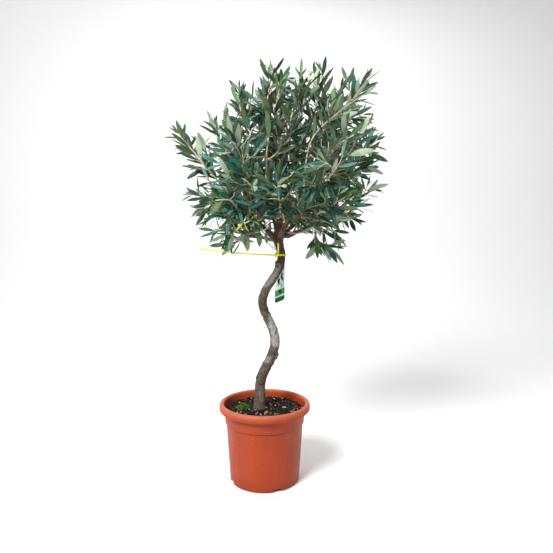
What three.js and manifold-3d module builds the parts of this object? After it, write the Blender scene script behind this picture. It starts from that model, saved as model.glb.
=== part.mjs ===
// Potted olive tree with a corkscrew stem: a plastic container pot, its soil, the wound trunk, the main
// boughs, the crown as separate masses of foliage, and the plant label on its plastic tie.
// Millimetres, +Z up. The origin is the middle of the pot's underside; -Y is the front and +X the right.

import * as THREE from "three";
import { mergeVertices } from "three/addons/utils/BufferGeometryUtils.js";
import Module from "manifold-3d";

const wasm = await Module();
wasm.setup();

// Driving dimensions

const gap = 0.3; // between pieces that touch

const pot = {
  height: 224,
  rimRadius: 130,
  rimWidth: 14,
  rimDepth: 21,
  collarTopRadius: 116,
  collarFootRadius: 112.5,
  collarFootHeight: 168,
  stepDepth: 3,
  footRadius: 99,
  footBevel: 3,
  wall: 3,
  floor: 5,
  segments: 40,
};
const drain = { count: 4, firstBearing: -67.5, width: 27, height: 7, depth: 20, sunk: 2, sides: 8 };
const soil = { height: 206, edgeDrop: 6, flatRadius: 66 };

const trunk = {
  footX: -15,
  forkHeight: 692,
  lean: 24, // how far the middle of the winding drifts to the right, foot to fork
  coilStart: 275, // height where the stem begins to wind
  coilEnd: 637, // height where it stops winding
  halfTurn: 119, // height of half a turn
  bendHeight: 650, // above it the stem leans back to the left
  bend: 0.37, // how much, for each millimetre up
  coilRadiusLow: 16,
  coilRadiusHigh: 27.5,
  footRadius: 15.8,
  topRadius: 10.8,
  flare: 3.6, // extra radius of the root flare
  flareHeight: 13,
  forkSwell: 4, // extra radius under the fork
  forkSwellHeight: 22,
  sides: 10,
  steps: 26,
  stations: 32, // points that its curve passes through
  sunk: 20, // the curve starts this far below the soil's surface, where the stem is cut flat
};

const tie = {
  height: 644,
  clearance: 3.4, // between bark and strap, room for the label's hook
  thickness: 1.2,
  width: 3,
  loopSides: 18,
  headRadius: 6.5,
  headDepth: 5,
  headSides: 12,
  headBearing: 215,
  tongueLength: 35,
  tongueShift: 3, // right of the head's middle
  tongueLean: 14, // towards the front, clear of the stem
  tailLength: 217,
  tailRise: 17,
  tailBend: 1.3, // 1 for a straight tail, more for one that rises late
  tailSteps: 8,
  tailRoom: { length: 40, depth: 14, height: 12, front: 12 }, // kept clear of leaves, round the tail
};
const label = {
  width: 28,
  length: 128,
  top: 630,
  thickness: 0.9,
  corner: 6,
  cutCorner: 9,
  shift: -5.5, // the plate's middle, left of its hook
  neckWidth: 6,
  hookDrop: 6,
  hookClearance: 0.9,
};

// Main boughs: bearing (degrees, 0 right, 90 back), rise of the first and the last part, length, radii.
const boughs = [
  { name: "bough_left", bearing: 176, rise: [52, 30], length: 108, radii: [8, 5] },
  { name: "bough_left_low", bearing: 188, rise: [20, 4], length: 82, radii: [4.6, 3.2] },
  { name: "bough_right", bearing: 352, rise: [32, 14], length: 124, radii: [7.4, 4.6] },
  { name: "bough_right_back", bearing: 38, rise: [44, 26], length: 124, radii: [6, 4.2] },
  { name: "bough_front", bearing: 290, rise: [50, 24], length: 112, radii: [6, 4.2] },
  { name: "bough_back", bearing: 98, rise: [52, 26], length: 112, radii: [6.2, 4.2] },
  { name: "bough_centre", bearing: 30, rise: [84, 78], length: 110, radii: [11.5, 8] },
  { name: "bough_centre_right", bearing: 335, rise: [56, 62], length: 108, radii: [7, 5] },
];
const boughSunk = 9; // below the fork, where their curves start inside the trunk
const boughSides = 7;
const boughSteps = 4;
const boughBend = 0.45; // share of the length with the first rise

// The crown, in tiers. Every mass runs from near the fork to one outer tip, whose bearing, rise and reach are
// seen from its foot. The first names get their shape first, and later ones are cut round them.
const crownFootX = 51.5; // the crown stands a little to the right of the fork
const heart = { name: "foliage_heart", height: 168, radii: [104, 98, 92], seed: 3 };
const tiers = [
  {
    name: "top",
    root: { rise: 76, reach: 215 },
    girth: 62,
    masses: [
      { side: "right_high", bearing: 330, rise: 59, reach: 502, girth: 56 },
      { side: "right", bearing: 14, rise: 68, reach: 498, girth: 58 },
      { side: "centre_right", bearing: 340, rise: 80, reach: 496, girth: 60 },
      { side: "centre_left", bearing: 194, rise: 88, reach: 494, girth: 56 },
      { side: "left", bearing: 184, rise: 73.5, reach: 452, girth: 52 },
      { side: "back", bearing: 92, rise: 68, reach: 455, girth: 66 },
      { side: "front", bearing: 262, rise: 69, reach: 436, girth: 62 },
    ],
  },
  {
    name: "middle",
    root: { rise: 42, reach: 128 },
    girth: 74,
    masses: [
      { side: "right", bearing: 0, rise: 50, reach: 408, girth: 58 },
      { side: "right_front", bearing: 310, rise: 49, reach: 385 },
      { side: "left_front", bearing: 236, rise: 50, reach: 382 },
      { side: "left", bearing: 180, rise: 46.5, reach: 438, girth: 40 },
      { side: "left_high", bearing: 170, rise: 62, reach: 412, girth: 58 },
      { side: "left_back", bearing: 128, rise: 48, reach: 390 },
      { side: "right_back", bearing: 54, rise: 50, reach: 395 },
    ],
  },
  {
    name: "low",
    root: { rise: 29, reach: 96 },
    girth: 58,
    masses: [
      { side: "right", bearing: 2, rise: 28, reach: 328, girth: 46 },
      { side: "right_front", bearing: 316, rise: 29, reach: 290 },
      { side: "front", bearing: 268, rise: 35, reach: 278 },
      { side: "left_front", bearing: 224, rise: 27, reach: 282 },
      { side: "left", bearing: 180, rise: 26, reach: 314, girth: 52 },
      { side: "left_back", bearing: 136, rise: 25, reach: 290 },
      { side: "back", bearing: 92, rise: 27, reach: 290 },
      { side: "right_back", bearing: 46, rise: 26, reach: 298 },
    ],
  },
  {
    name: "hanging",
    root: { rise: 4, reach: 88 },
    girth: 36,
    masses: [
      { side: "right", bearing: 345, rise: -13, reach: 178, girth: 44 },
      { side: "left", bearing: 186, rise: -4, reach: 196 },
      { side: "far_left", bearing: 181, rise: 9, reach: 250, girth: 34 },
    ],
  },
];
const massGap = 2.5; // between neighbouring masses
const unevenness = 0.22;
const bow = { share: 0.1, turn: 60 }; // how far a mass sags, of its length, and how far down from its rise
const massDetail = 2;

// Vectors, and solids made of closed geometries

const up = new THREE.Vector3(0, 0, 1);

function direction(bearing, rise) {
  const turn = THREE.MathUtils.degToRad(bearing);
  const lift = THREE.MathUtils.degToRad(rise);
  return new THREE.Vector3(Math.cos(turn) * Math.cos(lift), Math.sin(turn) * Math.cos(lift), Math.sin(lift));
}

function solidOf(geometry) {
  const bare = new THREE.BufferGeometry().setAttribute("position", geometry.getAttribute("position"));
  if (geometry.index) bare.setIndex(geometry.index);
  const merged = mergeVertices(bare, 1e-4);
  return new wasm.Manifold(
    new wasm.Mesh({
      numProp: 3,
      vertProperties: new Float32Array(merged.attributes.position.array),
      triVerts: new Uint32Array(merged.index.array),
    }),
  );
}

function geometryOf(solid) {
  const mesh = solid.getMesh();
  return new THREE.BufferGeometry()
    .setAttribute("position", new THREE.BufferAttribute(mesh.vertProperties, 3))
    .setIndex(new THREE.BufferAttribute(mesh.triVerts, 1));
}

// The largest body of a solid that a cut has left in pieces.
function largestBody(solid) {
  return solid.decompose().reduce((a, b) => (b.volume() > a.volume() ? b : a));
}

function moveVertices(geometry, place) {
  const position = geometry.attributes.position;
  const point = new THREE.Vector3();
  for (let i = 0; i < position.count; i++) {
    place(point.fromBufferAttribute(position, i));
    position.setXYZ(i, point.x, point.y, point.z);
  }
  return geometry;
}

// A limb: a capped cylinder carried along a curve, with its radius given at each share of the length.
function limbSolid(curve, radiusAt, sides, steps) {
  const frames = curve.computeFrenetFrames(steps, false);
  const cylinder = new THREE.CylinderGeometry(1, 1, 1, sides, steps);
  moveVertices(cylinder, (point) => {
    const share = point.y + 0.5;
    const step = Math.round(share * steps);
    const radius = radiusAt(share);
    const across = point.x * radius;
    const along = point.z * radius;
    point
      .copy(curve.getPointAt(share))
      .addScaledVector(frames.binormals[step], across)
      .addScaledVector(frames.normals[step], along);
  });
  return solidOf(cylinder);
}

// Pot and soil

const collarTopHeight = pot.height - pot.rimDepth;
const innerTopRadius = pot.rimRadius - pot.rimWidth;
const bodyTopRadius = pot.collarFootRadius - pot.stepDepth;

function potSolid() {
  const rimRound = pot.rimWidth / 2;
  const rimMiddle = pot.rimRadius - rimRound;
  const profile = [
    [0, 0],
    [pot.footRadius - pot.footBevel, 0],
    [pot.footRadius, pot.footBevel],
    [bodyTopRadius, pot.collarFootHeight - pot.stepDepth],
    [pot.collarFootRadius, pot.collarFootHeight],
    [pot.collarTopRadius, collarTopHeight + rimRound],
    [rimMiddle, collarTopHeight],
    [pot.rimRadius - rimRound * 0.3, collarTopHeight + rimRound * 0.3],
    [pot.rimRadius, collarTopHeight + rimRound],
    [pot.rimRadius, pot.height - rimRound],
    [rimMiddle + rimRound * 0.75, pot.height - rimRound * 0.35],
    [rimMiddle, pot.height],
    [rimMiddle - rimRound * 0.75, pot.height - rimRound * 0.35],
    [innerTopRadius, pot.height - rimRound],
    [pot.collarTopRadius - pot.wall, collarTopHeight - rimRound],
    [pot.collarFootRadius - pot.wall, pot.collarFootHeight + pot.wall],
    [bodyTopRadius - pot.wall, pot.collarFootHeight],
    [pot.footRadius - pot.wall, pot.floor],
    [0, pot.floor],
  ].map(([radius, height]) => new THREE.Vector2(radius, height));
  const lathe = new THREE.LatheGeometry(profile, pot.segments).rotateX(Math.PI / 2);
  let solid = solidOf(lathe);
  for (let i = 0; i < drain.count; i++) {
    const bearing = drain.firstBearing + (i * 360) / drain.count;
    const middle = direction(bearing, 0).multiplyScalar(pot.footRadius);
    const slot = new THREE.CylinderGeometry(1, 1, drain.depth, drain.sides)
      .rotateZ(Math.PI / 2)
      .scale(1, drain.width / 2, drain.height + drain.sunk)
      .rotateZ(THREE.MathUtils.degToRad(bearing))
      .translate(middle.x, middle.y, -drain.sunk);
    solid = solid.subtract(solidOf(slot));
  }
  return solid;
}

// Radius inside the pot's wall at a height below its collar.
function innerRadius(height) {
  const share = (height - pot.floor) / (pot.collarFootHeight - pot.floor);
  return THREE.MathUtils.lerp(pot.footRadius, bodyTopRadius, share) - pot.wall;
}

function soilSolid() {
  const bottom = pot.floor + gap;
  const shoulder = pot.collarFootHeight;
  const profile = [
    [0, bottom],
    [innerRadius(bottom) - gap, bottom],
    [innerRadius(shoulder) - gap, shoulder],
    [pot.collarTopRadius - pot.wall - 3 * gap, collarTopHeight - pot.rimWidth / 2],
    [pot.collarTopRadius - pot.wall - 3 * gap, soil.height - soil.edgeDrop],
    [soil.flatRadius, soil.height],
    [0, soil.height],
  ].map(([radius, height]) => new THREE.Vector2(radius, height));
  return solidOf(new THREE.LatheGeometry(profile, pot.segments).rotateX(Math.PI / 2));
}

// Trunk

function trunkPoint(height) {
  const share = (height - soil.height) / (trunk.forkHeight - soil.height);
  const wound = Math.min(Math.max(height - trunk.coilStart, 0), trunk.coilEnd - trunk.coilStart);
  const phase = (Math.PI * wound) / trunk.halfTurn - Math.PI / 2;
  const coil = THREE.MathUtils.lerp(trunk.coilRadiusLow, trunk.coilRadiusHigh, share);
  const middle = trunk.footX + trunk.coilRadiusLow + trunk.lean * share;
  const bent = trunk.bend * Math.max(height - trunk.bendHeight, 0);
  return new THREE.Vector3(middle - bent + coil * Math.sin(phase), -coil * Math.cos(phase), height);
}

const trunkCurve = new THREE.CatmullRomCurve3(
  Array.from({ length: trunk.stations }, (_, i) =>
    trunkPoint(
      THREE.MathUtils.lerp(soil.height - trunk.sunk, trunk.forkHeight, i / (trunk.stations - 1)),
    ),
  ),
);
const fork = trunkPoint(trunk.forkHeight);
const crownFoot = fork.clone().setX(crownFootX);

function trunkRadius(height) {
  const share = (height - soil.height) / (trunk.forkHeight - soil.height);
  const flare = trunk.flare * Math.exp(-Math.max(height - soil.height, 0) / trunk.flareHeight);
  const swell = trunk.forkSwell * Math.exp(-(trunk.forkHeight - height) / trunk.forkSwellHeight);
  return THREE.MathUtils.lerp(trunk.footRadius, trunk.topRadius, share) + flare + swell;
}

function trunkSolid(extra = 0) {
  const radiusAt = (share) => trunkRadius(trunkCurve.getPointAt(share).z) + extra;
  const whole = limbSolid(trunkCurve, radiusAt, trunk.sides, trunk.steps);
  return whole.trimByPlane([0, 0, 1], soil.height + gap);
}

// Boughs

function boughCurve({ bearing, rise, length }) {
  const start = fork.clone().addScaledVector(up, -boughSunk);
  const bend = start.clone().addScaledVector(direction(bearing, rise[0]), length * boughBend);
  const end = bend.clone().addScaledVector(direction(bearing, rise[1]), length * (1 - boughBend));
  return new THREE.QuadraticBezierCurve3(start, bend, end);
}

function boughSolid(bough, extra = 0) {
  const radiusAt = (share) => THREE.MathUtils.lerp(bough.radii[0], bough.radii[1], share) + extra;
  return limbSolid(boughCurve(bough), radiusAt, boughSides, boughSteps);
}

// Foliage

// Uneven surface: a few waves over the directions of a unit sphere, different for each seed.
function lumps(point, seed) {
  const a = Math.sin(3.1 * point.x + 1.7 * seed) * Math.cos(2.7 * point.y - seed);
  const b = Math.sin(4.3 * point.y + 2.9 * point.z + 0.6 * seed);
  const c = Math.cos(5.2 * point.z - 3.4 * point.x + 2.3 * seed);
  return (a + b + c) / 2;
}

// How full a mass is at a share of its length, 1 at its widest, which is nearer its tip.
function fullness(share) {
  const root = 0.7;
  const tip = 0.5;
  const widest = root / (root + tip);
  const most = widest ** root * (1 - widest) ** tip;
  return (share ** root * (1 - share) ** tip) / most;
}

// A drawn-out solid from a root to a tip, bowed downwards in the upright plane of its bearing.
function plumeSolid({ root, tip, bearing, girth, seed }, extra) {
  const start = crownFoot.clone().addScaledVector(direction(bearing, root.rise), root.reach);
  const end = crownFoot.clone().addScaledVector(direction(bearing, tip.rise), tip.reach);
  const sag = direction(bearing, Math.min(root.rise, tip.rise) - bow.turn);
  const middle = start.clone().lerp(end, 0.5).addScaledVector(sag, start.distanceTo(end) * bow.share);
  const curve = new THREE.QuadraticBezierCurve3(start, middle, end);
  const across = direction(bearing + 90, 0);
  const sphere = new THREE.IcosahedronGeometry(1, massDetail);
  moveVertices(sphere, (point) => {
    const share = THREE.MathUtils.clamp((point.z + 1) / 2, 0, 1);
    const around = Math.hypot(point.x, point.y);
    const tangent = curve.getTangent(share);
    const lift = new THREE.Vector3().crossVectors(across, tangent);
    const bulge = 1 + unevenness * lumps(point, seed);
    const radius = around > 1e-6 ? (girth * fullness(share) * bulge + extra) / around : 0;
    const x = point.x * radius;
    const y = point.y * radius;
    const overrun = extra * point.z;
    point
      .copy(curve.getPoint(share))
      .addScaledVector(tangent, overrun)
      .addScaledVector(lift, x)
      .addScaledVector(across, y);
  });
  return solidOf(sphere);
}

// A mass of a tier, from the tier's root near the fork to its own tip.
function massSolid(tier, mass, seed, extra = 0) {
  const { bearing, girth = tier.girth } = mass;
  return plumeSolid({ root: tier.root, tip: mass, bearing, girth, seed }, extra);
}

function heartSolid(extra = 0) {
  const middle = crownFoot.clone().addScaledVector(up, heart.height);
  const sphere = new THREE.IcosahedronGeometry(1, massDetail);
  moveVertices(sphere, (point) => {
    const bulge = 1 + unevenness * lumps(point, heart.seed);
    point
      .set(
        point.x * (heart.radii[0] * bulge + extra),
        point.y * (heart.radii[1] * bulge + extra),
        point.z * (heart.radii[2] * bulge + extra),
      )
      .add(middle);
  });
  return solidOf(sphere);
}

// Tie and label

const tieMiddle = trunkPoint(tie.height);
const tieRadius = trunkRadius(tie.height) + tie.clearance;

// The space that the tie's tail passes through, kept clear of leaves.
function tailClearance() {
  const { length, depth, height, front } = tie.tailRoom;
  const room = new THREE.BoxGeometry(tie.tailLength + length, depth, tie.tailRise + height).translate(
    tieMiddle.x - (tie.tailLength + length) / 2,
    tieMiddle.y - front,
    tie.height + tie.tailRise / 2,
  );
  return solidOf(room);
}

function tieSolid() {
  const ring = new THREE.LatheGeometry(
    [
      [tieRadius, -tie.width / 2],
      [tieRadius + tie.thickness, -tie.width / 2],
      [tieRadius + tie.thickness, tie.width / 2],
      [tieRadius, tie.width / 2],
      [tieRadius, -tie.width / 2],
    ].map(([radius, height]) => new THREE.Vector2(radius, height)),
    tie.loopSides,
  ).rotateX(Math.PI / 2);
  const seat = direction(tie.headBearing, 0).multiplyScalar(tieRadius + tie.thickness);
  seat.x -= tie.headDepth / 2;
  const head = new THREE.CylinderGeometry(tie.headRadius, tie.headRadius, tie.headDepth, tie.headSides)
    .rotateZ(Math.PI / 2)
    .rotateZ(THREE.MathUtils.degToRad(tie.headBearing))
    .translate(seat.x, seat.y, 0);
  const tongue = new THREE.BoxGeometry(tie.width, tie.thickness, tie.tongueLength)
    .translate(0, 0, tie.tongueLength / 2)
    .rotateX(THREE.MathUtils.degToRad(tie.tongueLean))
    .translate(seat.x + tie.tongueShift, seat.y - tie.thickness, 0);
  const tail = moveVertices(
    new THREE.BoxGeometry(tie.tailLength, tie.thickness, tie.width, tie.tailSteps, 1, 1),
    (point) => {
      const share = 0.5 - point.x / tie.tailLength;
      point.x += seat.x - tie.tailLength / 2 + tie.thickness;
      point.y += seat.y;
      point.z += tie.tailRise * share ** tie.tailBend;
    },
  );
  return [head, tongue, tail]
    .reduce((solid, piece) => solid.add(solidOf(piece)), solidOf(ring))
    .translate([tieMiddle.x, tieMiddle.y, tieMiddle.z]);
}

function labelSolid() {
  const half = label.width / 2;
  const outline = new THREE.Shape()
    .moveTo(-half, -label.length + label.cutCorner * 0.3)
    .lineTo(-half + label.cutCorner * 0.5, -label.length)
    .lineTo(half - label.cutCorner, -label.length + label.cutCorner * 0.8)
    .lineTo(half, -label.length + label.cutCorner * 1.8)
    .lineTo(half, -label.corner)
    .absarc(half - label.corner, -label.corner, label.corner, 0, Math.PI / 2)
    .lineTo(-half + label.corner, 0)
    .absarc(-half + label.corner, -label.corner, label.corner, Math.PI / 2, Math.PI);
  const plate = new THREE.ExtrudeGeometry(outline, {
    depth: label.thickness,
    bevelEnabled: false,
    curveSegments: 5,
  })
    .rotateX(Math.PI / 2)
    .translate(label.shift, label.thickness, 0);
  // The hook: a strip that goes up outside the strap, over it and down inside.
  const clear = label.hookClearance;
  const t = label.thickness;
  const strapIn = -clear - tie.thickness;
  const over = tie.height - label.top + tie.width / 2 + clear;
  const hook = new THREE.Shape()
    .moveTo(0, -label.corner)
    .lineTo(t, -label.corner)
    .lineTo(t, over + t)
    .lineTo(strapIn - clear - t, over + t)
    .lineTo(strapIn - clear - t, over - label.hookDrop)
    .lineTo(strapIn - clear, over - label.hookDrop)
    .lineTo(strapIn - clear, over)
    .lineTo(0, over);
  const strip = new THREE.ExtrudeGeometry(hook, { depth: label.neckWidth, bevelEnabled: false })
    .rotateX(Math.PI / 2)
    .rotateZ(Math.PI / 2)
    .translate(-label.neckWidth / 2, 0, 0);
  const hang = tieMiddle.y + tieRadius + tie.thickness + clear;
  return solidOf(plate).add(solidOf(strip)).translate([tieMiddle.x, hang, label.top]);
}

// Materials

const finish = {
  pot: new THREE.MeshStandardMaterial({ color: 0xb9573a, roughness: 0.55, metalness: 0 }),
  soil: new THREE.MeshStandardMaterial({ color: 0x2a2320, roughness: 1, metalness: 0 }),
  bark: new THREE.MeshStandardMaterial({ color: 0x7b6f63, roughness: 0.9, metalness: 0 }),
  foliage: new THREE.MeshStandardMaterial({ color: 0x3c6058, roughness: 0.7, metalness: 0 }),
  tie: new THREE.MeshStandardMaterial({ color: 0xf0d21e, roughness: 0.4, metalness: 0 }),
  label: new THREE.MeshStandardMaterial({ color: 0xe9eee6, roughness: 0.45, metalness: 0 }),
};

// Assembly

const tree = new THREE.Group();

function addNode(name, solid, material) {
  const mesh = new THREE.Mesh(geometryOf(solid), material);
  mesh.name = name;
  tree.add(mesh);
}

addNode("pot", potSolid(), finish.pot);
addNode("soil", soilSolid(), finish.soil);
addNode("trunk", trunkSolid(), finish.bark);

// Foliage first: each mass is cut round those before it, and round the clear space at the fork.
let taken = heartSolid(massGap).add(tailClearance());
const foliage = [{ name: heart.name, solid: heartSolid() }];
tiers.forEach((tier, level) =>
  tier.masses.forEach((mass, i) => {
    const seed = 7 * level + i + 1;
    const solid = largestBody(massSolid(tier, mass, seed).subtract(taken));
    taken = taken.add(massSolid(tier, mass, seed, massGap));
    foliage.push({ name: `foliage_${tier.name}_${mass.side}`, solid });
  }),
);

// Boughs are cut by the trunk, by those before them, and by the masses that they enter.
let wood = trunkSolid(gap);
for (const bough of boughs) {
  const solid = largestBody(boughSolid(bough).subtract(wood).subtract(taken));
  wood = wood.add(boughSolid(bough, gap));
  addNode(bough.name, solid, finish.bark);
}
for (const { name, solid } of foliage) addNode(name, solid, finish.foliage);
addNode("label_tie", tieSolid(), finish.tie);
addNode("plant_label", labelSolid(), finish.label);

export default tree;
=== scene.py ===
import math
import random

import bmesh
import bpy
import numpy as np
from mathutils import Matrix, Vector, noise
from mathutils.bvhtree import BVHTree


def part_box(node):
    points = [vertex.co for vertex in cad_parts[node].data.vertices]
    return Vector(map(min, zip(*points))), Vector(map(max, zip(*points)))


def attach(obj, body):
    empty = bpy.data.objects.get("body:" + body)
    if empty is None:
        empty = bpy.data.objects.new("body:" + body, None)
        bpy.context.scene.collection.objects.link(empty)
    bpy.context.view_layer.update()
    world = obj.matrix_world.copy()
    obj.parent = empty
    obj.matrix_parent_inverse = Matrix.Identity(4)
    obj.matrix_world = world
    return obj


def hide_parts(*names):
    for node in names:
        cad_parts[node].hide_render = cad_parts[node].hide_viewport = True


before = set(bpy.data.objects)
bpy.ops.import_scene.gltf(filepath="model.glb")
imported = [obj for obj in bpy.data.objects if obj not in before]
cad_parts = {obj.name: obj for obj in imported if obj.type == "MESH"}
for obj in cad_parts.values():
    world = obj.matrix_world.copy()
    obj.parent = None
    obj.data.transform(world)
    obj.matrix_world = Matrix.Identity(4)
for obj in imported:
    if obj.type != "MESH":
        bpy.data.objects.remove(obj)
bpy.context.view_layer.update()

up = Vector((0, 0, 1))


# Small helpers

def keepObject(name, mesh, materials):
    for material in materials:
        mesh.materials.append(material)
    obj = bpy.data.objects.new(name, mesh)
    bpy.context.scene.collection.objects.link(obj)
    return obj


def finishPiece(obj, slotName, *replaced):
    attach(obj, "root")
    if replaced:
        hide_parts(*replaced)


def smoothMesh(mesh, sharpAngle=None):
    mesh.polygons.foreach_set("use_smooth", [True] * len(mesh.polygons))
    if sharpAngle:
        mesh.set_sharp_from_angle(angle=math.radians(sharpAngle))
    return mesh


def meshFromBmesh(name, bm, sharpAngle=None):
    bmesh.ops.recalc_face_normals(bm, faces=bm.faces)
    mesh = bpy.data.meshes.new(name)
    bm.to_mesh(mesh)
    bm.free()
    return smoothMesh(mesh, sharpAngle)


def meshFromArrays(name, points, faces, slots, sharpAngle=None):
    mesh = bpy.data.meshes.new(name)
    mesh.from_pydata(points, [], faces)
    mesh.polygons.foreach_set("material_index", slots)
    mesh.update()
    return smoothMesh(mesh, sharpAngle)


def addLine(bm, places):
    points = [bm.verts.new(place) for place in places]
    return points, [bm.edges.new(pair) for pair in zip(points, points[1:])]


def widenLine(bm, edges, vec):
    # Draws a line out into a strip, and gives the strip's faces.
    made = bmesh.ops.extrude_edge_only(bm, edges=edges)["geom"]
    bmesh.ops.translate(bm, verts=[part for part in made if isinstance(part, bmesh.types.BMVert)], vec=vec)
    return [part for part in made if isinstance(part, bmesh.types.BMFace)]


def addBox(bm, size, middle):
    verts = bmesh.ops.create_cube(bm, size=1)["verts"]
    bmesh.ops.scale(bm, verts=verts, vec=size)
    bmesh.ops.translate(bm, verts=verts, vec=middle)


def gaussVector(rng, size):
    return Vector((rng.gauss(0, size), rng.gauss(0, size), rng.gauss(0, size)))


def wayAt(degrees):
    turn = math.radians(degrees)
    return Vector((math.cos(turn), math.sin(turn), 0))


def pathLength(path):
    return sum((b - a).length for a, b in zip(path, path[1:]))


def taper(wide, narrow, count):
    return [wide + (narrow - wide) * k / (count - 1) for k in range(count)]


def arc(middle, radius, start, end, steps):
    angles = np.radians(np.linspace(start, end, steps))
    return [(middle[0] + radius * math.cos(a), middle[1] + radius * math.sin(a)) for a in angles]


def spinProfile(bm, profile, steps):
    points, edges = addLine(bm, [(radius, 0, height) for radius, height in profile])
    bmesh.ops.spin(bm, geom=points + edges, cent=(0, 0, 0), axis=(0, 0, 1), angle=math.tau,
                   steps=steps, use_merge=True, use_duplicate=False)
    bmesh.ops.remove_doubles(bm, verts=bm.verts, dist=1e-6)
    bmesh.ops.recalc_face_normals(bm, faces=bm.faces)


# Shader groups and materials

def newGroup(name, inputs, outputs):
    # Inputs by name and default: three numbers make a vector and four a colour.
    tree = bpy.data.node_groups.new(name, "ShaderNodeTree")
    kinds = {1: "NodeSocketFloat", 3: "NodeSocketVector", 4: "NodeSocketColor"}
    for label, value in inputs.items():
        kind = kinds[np.size(value)]
        tree.interface.new_socket(name=label, in_out="INPUT", socket_type=kind).default_value = value
    for label, size in outputs.items():
        tree.interface.new_socket(name=label, in_out="OUTPUT", socket_type=kinds[size])
    return tree, tree.nodes.new("NodeGroupInput").outputs, tree.nodes.new("NodeGroupOutput").inputs


def setSocket(tree, socket, value):
    if isinstance(value, bpy.types.NodeSocket):
        tree.links.new(value, socket)
    elif socket.type == "RGBA":
        socket.default_value = (*value, 1)[:4]
    else:
        socket.default_value = value


def addNode(tree, kind, settings=None, **inputs):
    node = tree.nodes.new("ShaderNode" + kind)
    for key, value in (settings or {}).items():
        setattr(node, key, value)
    for key, value in inputs.items():
        setSocket(tree, node.inputs[key], value)
    return node


def calc(tree, operation, *values, kind="Math"):
    node = addNode(tree, kind, {"operation": operation})
    for socket, value in zip(node.inputs, values):
        setSocket(tree, socket, value)
    return node.outputs[0]


def rescale(tree, value, low, high, start=0.0, end=1.0):
    node = addNode(tree, "MapRange")
    for socket, given in zip(node.inputs, (value, low, high, start, end)):
        setSocket(tree, socket, given)
    return node.outputs[0]


def mixColors(tree, factor, first, second):
    node = addNode(tree, "Mix", {"data_type": "RGBA"})
    for index, value in ((0, factor), (6, first), (7, second)):
        setSocket(tree, node.inputs[index], value)
    return node.outputs[2]


def objectPlace(tree):
    return addNode(tree, "TexCoord").outputs["Object"]


def makeMottleGroup():
    # A colour that drifts towards a second one in soft, uneven patches.
    tree, given, out = newGroup(
        "mottle", {"Color": (0.5, 0.5, 0.5, 1), "Patch Color": (0, 0, 0, 1), "Scale": 20.0, "Amount": 0.5,
                   "Stretch": (1, 1, 1)}, {"Color": 4})
    stretched = calc(tree, "MULTIPLY", objectPlace(tree), given["Stretch"], kind="VectorMath")
    cloud = addNode(tree, "TexNoise", Vector=stretched, Scale=given["Scale"], Detail=5.0, Roughness=0.6)
    mask = rescale(tree, cloud.outputs[0], 0.38, 0.66)
    share = calc(tree, "MULTIPLY", mask, given["Amount"])
    tree.links.new(mixColors(tree, share, given["Color"], given["Patch Color"]), out["Color"])
    return tree


def makeSpeckGroup():
    # Small separate specks, each cell of the pattern holding at most one.
    tree, given, out = newGroup(
        "specks", {"Color": (0.5, 0.5, 0.5, 1), "Speck Color": (0, 0, 0, 1), "Scale": 200.0, "Size": 0.2,
                   "Share": 0.1}, {"Color": 4})
    cells = addNode(tree, "TexVoronoi", Vector=objectPlace(tree), Scale=given["Scale"])
    small = calc(tree, "LESS_THAN", cells.outputs["Distance"], given["Size"])
    split = addNode(tree, "SeparateColor", Color=cells.outputs["Color"])
    mask = calc(tree, "MULTIPLY", small, calc(tree, "LESS_THAN", split.outputs[0], given["Share"]))
    tree.links.new(mixColors(tree, mask, given["Color"], given["Speck Color"]), out["Color"])
    return tree


def makeGrainGroup():
    # Fine surface grain: a normal for the shader and an uneven roughness.
    tree, given, out = newGroup(
        "grain", {"Scale": 400.0, "Depth": 0.1, "Stretch": (1, 1, 1), "Roughness": 0.5, "Unevenness": 0.1},
        {"Normal": 3, "Roughness": 1})
    stretched = calc(tree, "MULTIPLY", objectPlace(tree), given["Stretch"], kind="VectorMath")
    fine = addNode(tree, "TexNoise", Vector=stretched, Scale=given["Scale"], Detail=3.0,
                   Roughness=0.55).outputs[0]
    bump = addNode(tree, "Bump", Height=fine, Strength=given["Depth"], Distance=0.001)
    centred = calc(tree, "SUBTRACT", fine, 0.5)
    rough = calc(tree, "MULTIPLY_ADD", centred, given["Unevenness"], given["Roughness"])
    tree.links.new(bump.outputs[0], out["Normal"])
    tree.links.new(rough, out["Roughness"])
    return tree


groups = {"mottle": makeMottleGroup(), "specks": makeSpeckGroup(), "grain": makeGrainGroup()}


def startMaterial(name, color, roughness):
    material = bpy.data.materials.new(name)
    material.use_nodes = True
    shader = material.node_tree.nodes["Principled BSDF"]
    shader.inputs["Base Color"].default_value = (*color, 1)
    shader.inputs["Roughness"].default_value = roughness
    material.diffuse_color = (*color, 1)
    return material, material.node_tree, shader


def useGroup(tree, name, **inputs):
    node = tree.nodes.new("ShaderNodeGroup")
    node.node_tree = groups[name]
    for key, value in inputs.items():
        setSocket(tree, node.inputs[key.replace("_", " ")], value)
    return node.outputs


def coat(tree, shader, color, grain, specular=None):
    # Gives the shader its colour and grain.
    tree.links.new(color, shader.inputs["Base Color"])
    tree.links.new(grain["Normal"], shader.inputs["Normal"])
    tree.links.new(grain["Roughness"], shader.inputs["Roughness"])
    if specular is not None:
        shader.inputs["Specular IOR Level"].default_value = specular


def mottledMaterial(name, color, patchColor, roughness, scale=40.0, amount=0.5, grainScale=500.0,
                    grainDepth=0.15, unevenness=0.15, specular=None):
    material, tree, shader = startMaterial(name, color, roughness)
    mottle = useGroup(tree, "mottle", Color=color, Patch_Color=patchColor, Scale=scale, Amount=amount)
    grain = useGroup(tree, "grain", Scale=grainScale, Depth=grainDepth, Roughness=roughness,
                     Unevenness=unevenness)
    coat(tree, shader, mottle["Color"], grain, specular)
    return material, tree, shader, mottle["Color"]


# Trunk and main boughs

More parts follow.
